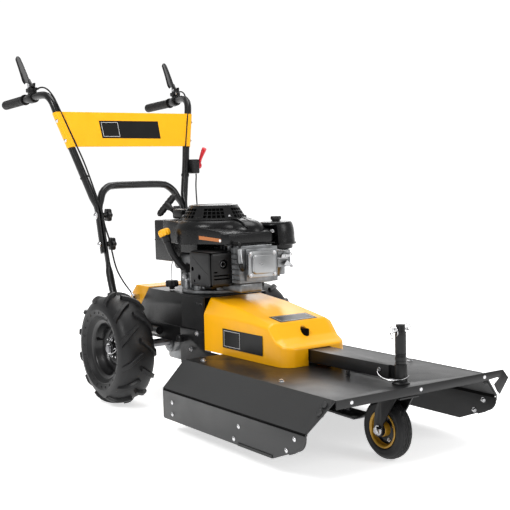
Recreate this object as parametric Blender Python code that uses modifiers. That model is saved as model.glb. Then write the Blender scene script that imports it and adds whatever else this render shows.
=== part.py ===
"""Walk-behind brush mower: wheeled chassis, cutting deck, vertical-shaft engine and folding handlebar.

Every point is given in the machine's own frame: +X is the way it drives, +Y is its left and +Z is up,
with the origin on the middle line.  The whole machine stands a little nose-up on its wheels, so that
frame hangs from the MACHINE empty, which is tilted and set down so that all three tyres touch z = 0.
"""
import math

import bmesh
import bpy
from mathutils import Matrix, Vector

# ------------------------------------------------------------------ driving dimensions (metres)
TYRE_R = 0.1703                # 13 x 5.00-6 drive tyres
TYRE_HALF_W = 0.0591
WHEEL_Y = 0.2589               # middle of a drive wheel
AXLE_X, AXLE_Z = -0.0854, 0.1487
RIM_FLANGE_R = 0.0903
RIM_SEAT_R = 0.0786
AXLE_R = 0.0125
CENTRE_X, CENTRE_Y = 0.0444, 0.0045    # middle of the whole machine in plan

DECK_REAR, DECK_FRONT = 0.280, 0.938
DECK_TOP = 0.161
DECK_HALF_W = 0.237
SKIRT_Y = 0.307                # outer face of the upright side skirts
SKIRT_FOLD_Z = 0.091
SKIRT_LOW_Z = 0.0095
SHEET = 0.003                  # deck and chassis sheet steel
GAP = 0.0003                   # clearance kept between touching pieces

CHASSIS_HALF_W = 0.110
CHASSIS_TOP = 0.315
CHASSIS_LOW = 0.164
CHASSIS_FRONT = 0.186

POST_X = 0.896                 # castor swivel axis
CASTER_X = 0.847               # castor wheel, trailing behind the swivel axis
CASTER_R = 0.075
CASTER_Z = 0.0419
CASTER_HALF_W = 0.0207
STEM_R = 0.011
# nose-up attitude at which the drive tyres and the castor tyre stand on the same floor
PITCH = (math.asin((CASTER_R - TYRE_R) / math.hypot(CASTER_X - AXLE_X, CASTER_Z - AXLE_Z))
         - math.atan2(CASTER_Z - AXLE_Z, CASTER_X - AXLE_X))

TUBE_R = 0.0125                # handlebar tube
PRESSED = 0.5                  # tube ends are pressed to half their width where they are bolted
HOOP_Y = 0.1565
BAR_Y = HOOP_Y + 2.0 * PRESSED * TUBE_R + GAP
FOLD_X, FOLD_Z = -0.348, 0.447
CLAMP_X, CLAMP_Z = -0.370, 0.5415
PANEL_LOW, PANEL_HIGH = (-0.4425, 0.2191, 0.7640), (-0.4792, 0.2519, 0.8810)
GRIP_R = 0.016
GRIP_IN = (-0.6600, 0.28519, 0.93652)
GRIP_END = (-0.8385, 0.28815, 0.92862)
LEVER_X, LEVER_Z = -0.612, 0.980
THROTTLE_HUB = (-0.4010, 0.2400, 0.7000)
STARTER_GRIP = (-0.1234, -0.0480, 0.5740)

ENGINE_X = 0.075               # crankshaft axis
OIL_MOUTH = (0.0300, -0.1425, 0.4880)
FILTER_X, FILTER_Y = 0.202, 0.141
BLADE_X = 0.520                # blade spindle axis
BLADE_R = 0.235
BLADE_Z = 0.055
BELT_Z = 0.193
ENGINE_PULLEY_R = 0.032
BLADE_PULLEY_R = 0.045
BELT_R = 0.0045

RIGHT, LEFT = -1, 1


# ------------------------------------------------------------------ scene, frame and materials
for leftover in list(bpy.data.objects):
    bpy.data.objects.remove(leftover, do_unlink=True)

PARTS = bpy.data.collections.new("brush_mower")
bpy.context.scene.collection.children.link(PARTS)

FRAMES = {}


def frame_empty(name, parent=None, point=(0.0, 0.0, 0.0)):
    """Make an empty at a point of the machine frame, for pieces that move together."""
    empty = bpy.data.objects.new(name, None)
    PARTS.objects.link(empty)
    empty.parent = parent
    empty.location = point
    FRAMES[name] = empty
    return empty


MACHINE = frame_empty("MACHINE")
MACHINE.rotation_euler = (0.0, -PITCH, 0.0)
MACHINE.location = (-CENTRE_X, -CENTRE_Y,
                    TYRE_R - AXLE_X * math.sin(PITCH) - AXLE_Z * math.cos(PITCH))


def material(name, color, roughness, metallic=0.0):
    made = bpy.data.materials.new(name)
    made.use_nodes = True
    shader = made.node_tree.nodes["Principled BSDF"]
    shader.inputs["Base Color"].default_value = (*color, 1.0)
    shader.inputs["Roughness"].default_value = roughness
    shader.inputs["Metallic"].default_value = metallic
    return made


FINISHES = {
    "black_coat": ((0.012, 0.012, 0.013), 0.45, 0.0),
    "grey_coat": ((0.045, 0.045, 0.047), 0.50, 0.0),
    "yellow_paint": ((0.90, 0.42, 0.005), 0.35, 0.0),
    "aluminium": ((0.60, 0.61, 0.62), 0.40, 0.9),
    "zinc": ((0.66, 0.66, 0.66), 0.35, 1.0),
    "rubber": ((0.018, 0.018, 0.019), 0.80, 0.0),
    "black_plastic": ((0.015, 0.015, 0.016), 0.50, 0.0),
    "red_plastic": ((0.60, 0.01, 0.02), 0.35, 0.0),
    "gold_paint": ((0.55, 0.30, 0.03), 0.40, 0.3),
    "steel": ((0.35, 0.35, 0.36), 0.45, 1.0),
}


# ------------------------------------------------------------------ modelling helpers
def finish(obj, name, finish_name, parent="MACHINE"):
    """Name an object made in machine coordinates, colour it and hang it from its frame."""
    obj.name = name
    obj.data.name = name
    for group in list(obj.users_collection):
        group.objects.unlink(obj)
    PARTS.objects.link(obj)
    frame = FRAMES[parent]
    point = Vector((0.0, 0.0, 0.0))
    while frame is not MACHINE:
        point += frame.location
        frame = frame.parent
    obj.parent = FRAMES[parent]
    obj.location = -point
    obj.data.materials.clear()
    obj.data.materials.append(material(name, *FINISHES[finish_name]))
    return obj


def from_bmesh(mesh):
    data = bpy.data.meshes.new("mesh")
    bmesh.ops.recalc_face_normals(mesh, faces=mesh.faces)
    mesh.to_mesh(data)
    mesh.free()
    return bpy.data.objects.new("object", data)


def to_mesh(obj):
    """Turn a curve or an object with modifiers into a welded plain mesh."""
    bpy.context.scene.collection.objects.link(obj)
    bpy.context.view_layer.update()
    data = bpy.data.meshes.new_from_object(obj.evaluated_get(bpy.context.evaluated_depsgraph_get()))
    mesh = bmesh.new()
    mesh.from_mesh(data)
    bmesh.ops.remove_doubles(mesh, verts=mesh.verts, dist=0.00001)
    bmesh.ops.recalc_face_normals(mesh, faces=mesh.faces)
    mesh.to_mesh(data)
    mesh.free()
    made = bpy.data.objects.new("object", data)
    made.matrix_world = obj.matrix_world.copy()
    bpy.data.objects.remove(obj, do_unlink=True)
    return made


def smooth(obj, angle=35.0):
    obj.data.shade_smooth()
    obj.data.set_sharp_from_angle(angle=math.radians(angle))
    return obj


def bevel(obj, width, segments=2):
    step = obj.modifiers.new("bevel", "BEVEL")
    step.width = width
    step.segments = segments
    step.limit_method = "ANGLE"
    step.angle_limit = math.radians(35.0)
    return obj


def box(low, high):
    mesh = bmesh.new()
    size = [b - a for a, b in zip(low, high)]
    middle = [(a + b) / 2.0 for a, b in zip(low, high)]
    bmesh.ops.create_cube(mesh, size=1.0)
    bmesh.ops.scale(mesh, vec=size, verts=mesh.verts)
    bmesh.ops.translate(mesh, vec=middle, verts=mesh.verts)
    return from_bmesh(mesh)


def rod(start, end, radius, end_radius=None, sides=20):
    """A cylinder or cone between two points."""
    start, end = Vector(start), Vector(end)
    turn = (end - start).to_track_quat("Z", "Y").to_matrix().to_4x4()
    place = Matrix.Translation((start + end) / 2.0) @ turn
    mesh = bmesh.new()
    bmesh.ops.create_cone(mesh, cap_ends=True, segments=sides, radius1=radius,
                          radius2=radius if end_radius is None else end_radius,
                          depth=(end - start).length, matrix=place)
    return from_bmesh(mesh)


def turned(profile, centre, axis, steps=32):
    """Turn a closed outline of (radius, distance along the axis) about an axis through centre."""
    mesh = bmesh.new()
    ring = [mesh.verts.new((r, 0.0, s)) for r, s in profile]
    for first, second in zip(ring, ring[1:] + ring[:1]):
        mesh.edges.new((first, second))
    data = bpy.data.meshes.new("profile")
    mesh.to_mesh(data)
    mesh.free()
    obj = bpy.data.objects.new("profile", data)
    screw = obj.modifiers.new("screw", "SCREW")
    screw.steps = steps
    screw.render_steps = steps
    screw.use_merge_vertices = True
    screw.merge_threshold = 0.00001
    made = to_mesh(obj)
    turn = Vector(axis).to_track_quat("Z", "Y").to_matrix().to_4x4()
    made.data.transform(Matrix.Translation(centre) @ turn)
    return made


def plate(outline, thickness, plane, level):
    """A flat plate of a 2D outline; plane names its axes, and level is its middle along the third."""
    curve = bpy.data.curves.new("outline", "CURVE")
    curve.dimensions = "2D"
    curve.fill_mode = "BOTH"
    curve.extrude = thickness / 2.0
    spline = curve.splines.new("POLY")
    spline.points.add(len(outline) - 1)
    for point, (u, v) in zip(spline.points, outline):
        point.co = (u, v, 0.0, 1.0)
    spline.use_cyclic_u = True
    made = to_mesh(bpy.data.objects.new("outline", curve))
    columns = {"xz": ((1, 0, 0), (0, 0, 1), (0, -1, 0)),
               "xy": ((1, 0, 0), (0, 1, 0), (0, 0, 1)),
               "yz": ((0, 1, 0), (0, 0, 1), (1, 0, 0))}[plane]
    turn = Matrix(columns).transposed().to_4x4()
    shift = Vector(columns[2]) * level
    if plane == "xz":
        shift = -shift
    made.data.transform(Matrix.Translation(shift) @ turn)
    return made


def sheet(rows, thickness, closed_ends=False):
    """A skin through rows of points, thickened inward by Solidify."""
    mesh = bmesh.new()
    grid = [[mesh.verts.new(point) for point in row] for row in rows]
    for row, following in zip(grid, grid[1:]):
        for a, b, c, d in zip(row, row[1:], following[1:], following):
            mesh.faces.new((a, b, c, d))
    if closed_ends:
        mesh.faces.new(grid[-1])
    bmesh.ops.remove_doubles(mesh, verts=mesh.verts, dist=0.00001)
    data = bpy.data.meshes.new("skin")
    mesh.to_mesh(data)
    mesh.free()
    obj = bpy.data.objects.new("skin", data)
    solid = obj.modifiers.new("solidify", "SOLIDIFY")
    solid.thickness = thickness
    solid.offset = -1.0
    solid.use_even_offset = True
    return to_mesh(obj)


def smooth_path(points, spacing=0.02):
    """Points along one smooth curve through the given points."""
    points = [Vector(point) for point in points]
    ends = [2 * points[0] - points[1]] + points + [2 * points[-1] - points[-2]]
    path = []
    for p0, p1, p2, p3 in zip(ends, ends[1:], ends[2:], ends[3:]):
        count = max(1, round((p2 - p1).length / spacing))
        for step in range(count):
            t = step / count
            path.append(0.5 * (2 * p1 + (p2 - p0) * t + (2 * p0 - 5 * p1 + 4 * p2 - p3) * t * t
                               + (3 * p1 - p0 - 3 * p2 + p3) * t ** 3))
    path.append(points[-1])
    return path


def tube(points, radius, resolution=3, closed=False):
    """A round bar or tube along a path."""
    curve = bpy.data.curves.new("path", "CURVE")
    curve.dimensions = "3D"
    curve.bevel_depth = radius
    curve.bevel_resolution = resolution
    curve.use_fill_caps = not closed
    spline = curve.splines.new("POLY")
    spline.points.add(len(points) - 1)
    for knot, point in zip(spline.points, points):
        knot.co = (*point, 1.0)
    spline.use_cyclic_u = closed
    return to_mesh(bpy.data.objects.new("path", curve))


def combine(obj, tools, operation="UNION"):
    """Join tools to an object, or cut them out of it, and keep one plain mesh."""
    for tool in tools:
        bpy.context.scene.collection.objects.link(tool)
        step = obj.modifiers.new(operation.lower(), "BOOLEAN")
        step.operation = operation
        step.object = tool
        step.solver = "EXACT"
    made = to_mesh(obj)
    for tool in tools:
        bpy.data.objects.remove(tool, do_unlink=True)
    return made


def cut(obj, tools):
    return combine(obj, tools, "DIFFERENCE")


def arc(centre, radius, start, end, count):
    """Points on an arc in a plane, angles in degrees."""
    angles = [math.radians(start + (end - start) * i / (count - 1)) for i in range(count)]
    return [(centre[0] + radius * math.cos(a), centre[1] + radius * math.sin(a)) for a in angles]


def side_name(stem, side):
    return f"{stem}_{'right' if side == RIGHT else 'left'}"


def centre_line_y(leg, z):
    """Sideways place of a rising tube at a height, from its (z, y) centre points."""
    if z <= leg[0][0]:
        return leg[0][1]
    for (z0, y0), (z1, y1) in zip(leg, leg[1:]):
        if z <= z1:
            return y0 + (y1 - y0) * (z - z0) / (z1 - z0)
    return leg[-1][1]


def press_flat(obj, path, low, high, blend=0.025):
    """Squash a tube sideways about its own centre line between two heights."""
    legs = {side: sorted((p.z, p.y) for p in path if p.y * side > 0.0) for side in (RIGHT, LEFT)}
    for vertex in obj.data.vertices:
        spot = vertex.co
        outside = max(low - spot.z, spot.z - high, 0.0)
        if outside < blend:
            middle = centre_line_y(legs[LEFT if spot.y > 0.0 else RIGHT], spot.z)
            spot.y = middle + (spot.y - middle) * (PRESSED + (1.0 - PRESSED) * outside / blend)
    return obj


# ------------------------------------------------------------------ deck
def deck_shell():
    """Flat top with a sloping side each way and a folded front edge."""
    slope_in = 0.0003
    section = [(-SKIRT_Y + slope_in, SKIRT_FOLD_Z), (-DECK_HALF_W, DECK_TOP),
               (DECK_HALF_W, DECK_TOP), (SKIRT_Y - slope_in, SKIRT_FOLD_Z)]
    rear = [(DECK_REAR, y, z) for y, z in section]
    fronts = (0.918, DECK_FRONT, DECK_FRONT, 0.918)
    front = [(x, y, z) for x, (y, z) in zip(fronts, section)]
    skin = sheet([front, rear], SHEET)
    lip = box((DECK_FRONT - 0.0005, -DECK_HALF_W, 0.140), (0.941, DECK_HALF_W, DECK_TOP))
    shell = combine(skin, [lip, nose_loop()])
    holes = [rod((POST_X, 0, 0.10), (POST_X, 0, 0.20), 0.0160, sides=24),
             rod((BLADE_X, 0, 0.10), (BLADE_X, 0, 0.20), 0.0165, sides=24)]
    finish(cut(shell, holes), "deck_shell", "black_coat")


def skirt(side):
    """Upright side plate with its rounded lug at the front."""
    lug = arc((0.884, 0.082), 0.036, 0.0, -70.0, 5)
    outline = [(DECK_REAR + 0.0033, SKIRT_LOW_Z), (0.792, SKIRT_LOW_Z), (0.866, 0.038)]
    outline += [(x, z) for x, z in reversed(lug)]
    outline += [(0.919, SKIRT_FOLD_Z - 0.0045), (DECK_REAR + 0.0033, SKIRT_FOLD_Z - 0.0045)]
    made = plate(outline, SHEET, "xz", side * (SKIRT_Y - SHEET / 2.0))
    rear_flange = box((DECK_REAR + 0.0033, 0.285, SKIRT_LOW_Z), (DECK_REAR + 0.0063, SKIRT_Y, 0.080))
    if side == RIGHT:
        rear_flange.data.transform(Matrix.Scale(-1.0, 4, (0, 1, 0)))
        rear_flange.data.flip_normals()
    finish(combine(made, [rear_flange]), side_name("skirt", side), "grey_coat")


def rear_baffle():
    outline = [(-0.3030, SKIRT_LOW_Z + 0.012), (0.3030, SKIRT_LOW_Z + 0.012), (0.3030, 0.0895),
               (0.2350, 0.1575), (-0.2350, 0.1575), (-0.3030, 0.0895)]
    finish(plate(outline, SHEET, "yz", DECK_REAR + 0.0015), "rear_baffle", "black_coat")


def nose_loop():
    """The front edge carried on past the left slope, folded down and back in to the skirt."""
    outline = [(0.2300, 0.161), (0.3070, 0.161), (0.3270, 0.138), (0.2955, 0.1000), (0.2870, 0.1087),
               (0.2760, 0.1270), (0.2950, 0.1410), (0.2850, 0.1440), (0.2300, 0.1400)]
    return plate(outline, 0.003, "yz", 0.9395)


def build_deck():
    deck_shell()
    rear_baffle()
    for side in (RIGHT, LEFT):
        skirt(side)


# ------------------------------------------------------------------ castor and its beam
def caster_beam():
    """Tapered box beam on the deck, welded to the collar that carries the castor's stem."""
    outline = [(0.5660, -0.030), (0.872, -0.018), (0.872, 0.018), (0.7000, 0.040), (0.5660, 0.040)]
    beam = plate(outline, 0.033, "xy", 0.1875)
    inner = plate([(0.5500, -0.027), (0.860, -0.015), (0.860, 0.015), (0.700, 0.037), (0.5500, 0.037)],
                  0.027, "xy", 0.1875)
    collar = rod((POST_X, 0, 0.1340), (POST_X, 0, 0.2080), 0.0155, sides=28)
    nose = box((0.860, -0.010, 0.171), (0.890, 0.010, 0.204))
    beam = combine(cut(beam, [inner]), [nose, collar])
    bore = rod((POST_X, 0, 0.12), (POST_X, 0, 0.22), STEM_R + GAP, sides=28)
    finish(cut(beam, [bore]), "caster_beam", "black_coat")


def caster_fork():
    """Two inclined cheeks, a crown plate and the stem, welded together."""
    eye = arc((CASTER_X, CASTER_Z), 0.0170, -35.0, -180.0, 7)
    cheek = [(0.912, 0.1330), (0.8635, 0.060)] + eye + [(0.836, 0.090), (0.858, 0.1330)]
    cheeks = [plate(cheek, 0.004, "xz", y) for y in (-0.0290, 0.0290)]
    crown = box((0.858, -0.031, 0.1290), (0.925, 0.031, 0.1330))
    stem = rod((POST_X, 0, 0.1300), (POST_X, 0, 0.3035), STEM_R, sides=28)
    fork = combine(crown, cheeks + [stem])
    holes = [rod((CASTER_X, -0.05, CASTER_Z), (CASTER_X, 0.05, CASTER_Z), 0.0063, sides=20),
             rod((POST_X, -0.03, 0.2915), (POST_X, 0.03, 0.2915), 0.0033, sides=12)]
    finish(cut(fork, holes), "caster_fork", "black_coat", "CASTER")


def caster_wheel():
    half = CASTER_HALF_W
    tyre = [(CASTER_R, 0.0), (0.0742, 0.0080), (0.0710, 0.0150), (0.0640, half), (0.0520, half - 0.001),
            (0.0455, 0.0160), (0.0455, -0.0160), (0.0520, -half + 0.001), (0.0640, -half),
            (0.0710, -0.0150), (0.0742, -0.0080)]
    centre = (CASTER_X, 0, CASTER_Z)
    finish(smooth(turned(tyre, centre, (0, -1, 0), 24)), "caster_tyre", "rubber", "CASTER_WHEEL")
    rim = [(0.0452, 0.0190), (0.0452, -0.0190), (0.0400, -0.0180), (0.0380, -0.0035), (0.0160, -0.0035),
           (0.0160, -0.0230), (0.0064, -0.0230), (0.0064, 0.0230), (0.0160, 0.0230), (0.0160, 0.0035),
           (0.0380, 0.0035), (0.0400, 0.0180)]
    finish(smooth(turned(rim, centre, (0, -1, 0), 24)), "caster_rim", "gold_paint", "CASTER_WHEEL")


def caster_bolt():
    shaft = rod((CASTER_X, -0.0370, CASTER_Z), (CASTER_X, 0.0370, CASTER_Z), 0.0060, sides=20)
    ends = [rod((CASTER_X, side * 0.0313, CASTER_Z), (CASTER_X, side * 0.0390, CASTER_Z), 0.0095, sides=6)
            for side in (RIGHT, LEFT)]
    finish(combine(shaft, ends), "caster_axle_bolt", "zinc", "CASTER")


def caster_spacer():
    """Height-setting spacer tube on the stem, with turned ring lines at its foot."""
    profile = [(0.0135, 0.2860), (0.0135, 0.2400), (0.0128, 0.2395), (0.0128, 0.2280), (0.0135, 0.2275),
               (0.0135, 0.2083), (STEM_R + GAP, 0.2083), (STEM_R + GAP, 0.2860)]
    finish(smooth(turned(profile, (POST_X, 0, 0), (0, 0, 1), 24)), "caster_spacer", "black_coat", "CASTER")


def caster_pin():
    """Lynch pin through the top of the stem, with its spring ring folded over."""
    pin = rod((POST_X, -0.0230, 0.2915), (POST_X, 0.0250, 0.2915), 0.0030, sides=12)
    head = rod((POST_X, -0.0250, 0.2915), (POST_X, -0.0170, 0.2915), 0.0060, sides=12)
    ring = [(x, -0.0210, z) for x, z in arc((POST_X, 0.2915), 0.0175, -90.0, 250.0, 18)]
    loop = tube(ring, 0.0013, 1, closed=True)
    neck = box((POST_X - 0.0012, -0.0222, 0.2725), (POST_X + 0.0012, -0.0198, 0.2885))
    finish(combine(pin, [head, neck, loop]), "caster_pin", "zinc", "CASTER")


def build_caster():
    caster_beam()
    caster_fork()
    caster_wheel()
    caster_bolt()
    caster_spacer()
    caster_pin()


# ------------------------------------------------------------------ chassis, covers and gearbox
def chassis_housing():
    """Inverted channel that carries the engine, with the gearbox hung between its sides."""
    side = [(CHASSIS_FRONT, CHASSIS_TOP), (-0.142, CHASSIS_TOP), (-0.195, 0.262), (-0.195, CHASSIS_LOW),
            (CHASSIS_FRONT, CHASSIS_LOW)]
    body = plate(side, 2.0 * CHASSIS_HALF_W, "xz", 0.0)
    hollow = [(CHASSIS_FRONT + 0.01, CHASSIS_TOP - SHEET), (-0.1405, CHASSIS_TOP - SHEET),
              (-0.192, 0.2630), (-0.192, CHASSIS_LOW - 0.01), (CHASSIS_FRONT + 0.01, CHASSIS_LOW - 0.01)]
    inside = plate(hollow, 2.0 * (CHASSIS_HALF_W - SHEET), "xz", 0.0)
    tools = [inside,
             rod((ENGINE_X, 0, 0.28), (ENGINE_X, 0, 0.35), 0.030, sides=28),
             box((0.120, -0.2, 0.286), (0.150, 0.2, 0.292))]
    finish(cut(body, tools), "chassis_housing", "black_coat")


def deck_bracket(side):
    outline = [(0.052, 0.212), (0.186, 0.212), (0.186, 0.158), (DECK_REAR - 0.0033, 0.158),
               (DECK_REAR - 0.0033, 0.105), (0.052, 0.105)]
    y = side * (CHASSIS_HALF_W + GAP + 0.002)
    strap = plate(outline, 0.004, "xz", y)
    inner, outer = sorted((y - side * 0.002, y + side * 0.018))
    foot = box((DECK_REAR - 0.0063, inner, 0.105), (DECK_REAR - 0.0003, outer, 0.150))
    finish(combine(strap, [foot]), side_name("deck_bracket", side), "black_coat")


def belt_cover():
    """Moulded cover over the belt: a tapering hood that ends in a low, rounded nose."""
    sections = [
        # x, foot half width, shoulder half width, shoulder z, top half width, top z
        (0.1900, 0.1135, 0.1135, 0.268, 0.089, 0.312),
        (0.3280, 0.1115, 0.1115, 0.267, 0.091, 0.298),
        (0.4410, 0.1095, 0.1095, 0.264, 0.092, 0.279),
        (0.4980, 0.1085, 0.1080, 0.259, 0.089, 0.270),
        (0.5300, 0.1075, 0.1060, 0.225, 0.084, 0.232),
        (0.5530, 0.1050, 0.1020, 0.216, 0.080, 0.2185),
        (0.5680, 0.0950, 0.0920, 0.213, 0.074, 0.2150),
        (0.5765, 0.0780, 0.0760, 0.209, 0.065, 0.2110),
    ]
    low = DECK_TOP + GAP
    rows = [[(x, -foot, low), (x, -shoulder, knee), (x, -crown, top), (x, crown, top),
             (x, shoulder, knee), (x, foot, low)] for x, foot, shoulder, knee, crown, top in sections]
    skin = sheet(rows, 0.0025, closed_ends=True)
    mouth = box((0.555, -0.0325, 0.150), (0.600, 0.0425, 0.2055))
    bolt_hole = rod((0.500, 0, 0.230), (0.540, 0, 0.275), 0.0045, sides=12)
    finish(cut(skin, [mouth, bolt_hole]), "belt_cover", "yellow_paint")


def rear_cover():
    outer = [(-0.1478, 0.319), (-0.227, 0.319), (-0.269, 0.282), (-0.262, 0.232), (-0.1955, 0.232),
             (-0.1955, 0.2615), (-0.1430, 0.3156), (-0.1430, 0.319)]
    hollow = [(-0.130, 0.3172), (-0.2262, 0.3172), (-0.2668, 0.2812), (-0.2600, 0.220), (-0.130, 0.220)]
    body = plate(outer, 2.0 * CHASSIS_HALF_W, "xz", 0.0)
    inside = plate(hollow, 2.0 * (CHASSIS_HALF_W - 0.002), "xz", 0.0)
    finish(cut(body, [inside]), "rear_cover", "yellow_paint")


def gearbox():
    """Right-angle gearbox round the axle, with mounting ears that reach the chassis sides."""
    ear = CHASSIS_HALF_W - SHEET - GAP
    body = box((AXLE_X - 0.045, -0.055, AXLE_Z - 0.060), (AXLE_X + 0.045, 0.055, AXLE_Z + 0.050))
    bevel(body, 0.008, 2)
    drum = rod((AXLE_X, -0.075, AXLE_Z), (AXLE_X, 0.075, AXLE_Z), 0.034, sides=28)
    ears = box((AXLE_X - 0.040, -ear, 0.1780), (AXLE_X + 0.040, ear, 0.1920))
    tower = rod((AXLE_X + 0.010, 0.0, 0.190), (AXLE_X + 0.010, 0.0, 0.225), 0.022, sides=20)
    casting = combine(body, [drum, ears, tower])
    bore = rod((AXLE_X, -0.1, AXLE_Z), (AXLE_X, 0.1, AXLE_Z), AXLE_R + GAP, sides=24)
    finish(cut(casting, [bore]), "gearbox", "aluminium")


def build_chassis():
    chassis_housing()
    belt_cover()
    rear_cover()
    gearbox()
    for side in (RIGHT, LEFT):
        deck_bracket(side)


# ------------------------------------------------------------------ drive wheels
def drive_wheels():
    axle = rod((AXLE_X, -0.2900, AXLE_Z), (AXLE_X, 0.2900, AXLE_Z), AXLE_R, sides=24)
    finish(axle, "rear_axle", "steel", "REAR_AXLE")
    half = TYRE_HALF_W
    outside = [(0.0793, 0.0346), (0.0908, 0.0377), (0.1011, 0.0516), (0.1238, half), (0.1476, 0.0568),
               (0.1610, 0.0485), (TYRE_R, 0.0310)]
    inside = [(0.1600, 0.0310), (0.1393, 0.0485), (0.1115, 0.0475), (0.0793, 0.0263)]
    loop = outside + [(r, -s) for r, s in outside[::-1]]
    loop += [(r, -s) for r, s in inside[::-1]] + inside
    lip, barrel = RIM_FLANGE_R - 0.0005, RIM_SEAT_R - 0.0027
    rim = [(lip, 0.0416), (lip, 0.0385), (RIM_SEAT_R, 0.0356), (RIM_SEAT_R, -0.0356), (lip, -0.0385),
           (lip, -0.0416), (barrel, -0.0387), (barrel, -0.0020), (0.0220, -0.0020), (0.0220, -0.0460),
           (AXLE_R + GAP, -0.0460), (AXLE_R + GAP, 0.0268), (0.0220, 0.0268), (0.0220, 0.0020),
           (barrel, 0.0020), (barrel, 0.0387)]
    for side in (RIGHT, LEFT):
        centre = (AXLE_X, side * WHEEL_Y, AXLE_Z)
        axis = (0, side, 0)
        finish(smooth(turned(loop, centre, axis, 28)), side_name("drive_tyre", side), "rubber", "REAR_AXLE")
        finish(smooth(turned(rim, centre, axis, 20)), side_name("drive_rim", side), "black_coat",
               "REAR_AXLE")


# ------------------------------------------------------------------ engine
def crankcase():
    """Base flange, crankcase and finned cylinder in one casting."""
    flange = rod((ENGINE_X, 0, 0.3153), (ENGINE_X, 0, 0.3270), 0.098, sides=36)
    case = box((ENGINE_X - 0.085, -0.078, 0.322), (0.1350, 0.085, 0.434))
    bevel(case, 0.015, 2)
    barrel = box((0.120, -0.030, 0.362), (0.292, 0.066, 0.454))
    fins = [box((x, -0.043, 0.352), (x + 0.003, 0.078, 0.462)) for x in [0.178 + 0.017 * i for i in range(6)]]
    casting = combine(flange, [case, barrel] + fins)
    bore = rod((ENGINE_X, 0, 0.30), (ENGINE_X, 0, 0.345), 0.0130, sides=20)
    finish(cut(casting, [bore]), "crankcase", "aluminium")


def valve_cover():
    outline = arc((0.052, 0.434), 0.014, 0, 90, 4) + arc((-0.016, 0.434), 0.014, 90, 180, 4)
    outline += arc((-0.016, 0.386), 0.014, 180, 270, 4) + arc((0.052, 0.386), 0.014, 270, 360, 4)
    made = plate(outline, 0.018, "yz", 0.3018)
    finish(bevel(made, 0.003, 2), "valve_cover", "aluminium")


def blower_housing():
    """Moulded shroud over the flywheel that runs forward over the cylinder."""
    bowl = [(0.0, 0.534), (0.108, 0.534), (0.122, 0.524), (0.128, 0.505), (0.128, 0.4640), (0.0, 0.4640)]
    drum = turned([(max(r, 0.0005), s) for r, s in bowl], (ENGINE_X, 0, 0), (0, 0, 1), 30)
    front = [(0.060, -0.085), (0.240, -0.066), (0.256, -0.050), (0.256, 0.085), (0.240, 0.102),
             (0.060, 0.112)]
    brow = plate(front, 0.046, "xy", 0.4870)
    bevel(brow, 0.010, 2)
    tray = plate([(0.02, -0.085), (0.115, -0.085), (0.115, 0.085), (0.02, 0.085)], 0.030, "xy", 0.4510)
    finish(combine(drum, [brow, tray]), "blower_housing", "black_plastic")


def starter_cage():
    """Slotted cap that houses the recoil starter."""
    profile = [(0.0005, 0.5780), (0.0700, 0.5780), (0.0750, 0.5740), (0.0990, 0.5343), (0.0005, 0.5343)]
    cap = turned(profile, (ENGINE_X + 0.002, 0, 0), (0, 0, 1), 36)
    snout = box((-0.0600, -0.066, 0.5343), (0.010, -0.030, 0.5620))
    bevel(snout, 0.005, 2)
    slots = []
    for index in range(16):
        angle = 2.0 * math.pi * index / 16
        if abs(angle - math.radians(205)) < 0.35:
            continue
        slot = box((0.080, -0.0095, 0.5430), (0.115, 0.0095, 0.5640))
        slot.data.transform(Matrix.Translation((ENGINE_X + 0.002, 0, 0)) @ Matrix.Rotation(angle, 4, "Z"))
        slots.append(slot)
    finish(combine(cut(cap, slots), [snout]), "starter_cage", "black_plastic")


def muffler():
    """Heat guard: the deep front box beside the cylinder and a shallower one that laps the crankcase."""
    guard = box((0.1362, -0.1240, 0.3450), (0.2480, -0.0455, 0.4490))
    lap = box((0.1280, -0.1240, 0.3450), (0.2000, -0.0795, 0.4490))
    for piece in (guard, lap):
        bevel(piece, 0.010, 3)
    finish(combine(guard, [lap]), "muffler_guard", "black_coat")


def fuel_system():
    hug = arc((ENGINE_X, 0.0), 0.1320, 226.0, 134.0, 9)
    outline = [(-0.1300, -0.084), (-0.1160, -0.098)] + hug + [(-0.1160, 0.098), (-0.1300, 0.084)]
    tank = plate(outline, 0.125, "xy", 0.4675)
    finish(bevel(tank, 0.010, 2), "fuel_tank", "black_plastic")
    cap = rod((-0.0850, 0.050, 0.5303), (-0.0850, 0.050, 0.5470), 0.025, sides=24)
    finish(cap, "fuel_cap", "black_plastic", "FUEL_CAP")


def oil_filler():
    """Bent filler tube from the crankcase out past the shroud, closed by its dipstick cap."""
    path = smooth_path([(0.0550, -0.0955, 0.3900), (0.0500, -0.1160, 0.4140), (0.0430, -0.1330, 0.4440),
                        OIL_MOUTH], 0.02)
    lug = box((0.044, -0.098, 0.376), (0.066, -0.0785, 0.402))
    finish(combine(tube(path, 0.012, 3), [lug]), "oil_filler_tube", "black_plastic")
    mouth = Vector(OIL_MOUTH)
    along = (mouth - path[-2]).normalized()
    cap = rod(mouth + along * GAP, mouth + along * 0.022, 0.0185, 0.0165, sides=12)
    finish(cap, "oil_cap", "yellow_paint", "OIL_CAP")


def air_filter():
    profile = [(0.0005, 0.5240), (0.0420, 0.5240), (0.0490, 0.5200), (0.0530, 0.5080), (0.0560, 0.4620),
               (0.0600, 0.4600), (0.0600, 0.4560), (0.0005, 0.4560)]
    can = turned(profile, (FILTER_X, FILTER_Y, 0), (0, 0, 1), 32)
    notch = box((0.100, 0.000, 0.455), (0.2575, 0.1135, 0.515))
    finish(smooth(cut(can, [notch])), "air_filter", "black_plastic")
    knob = rod((FILTER_X, FILTER_Y, 0.5243), (FILTER_X, FILTER_Y, 0.5400), 0.0160, sides=16)
    finish(knob, "filter_knob", "black_plastic", "FILTER_KNOB")


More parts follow.
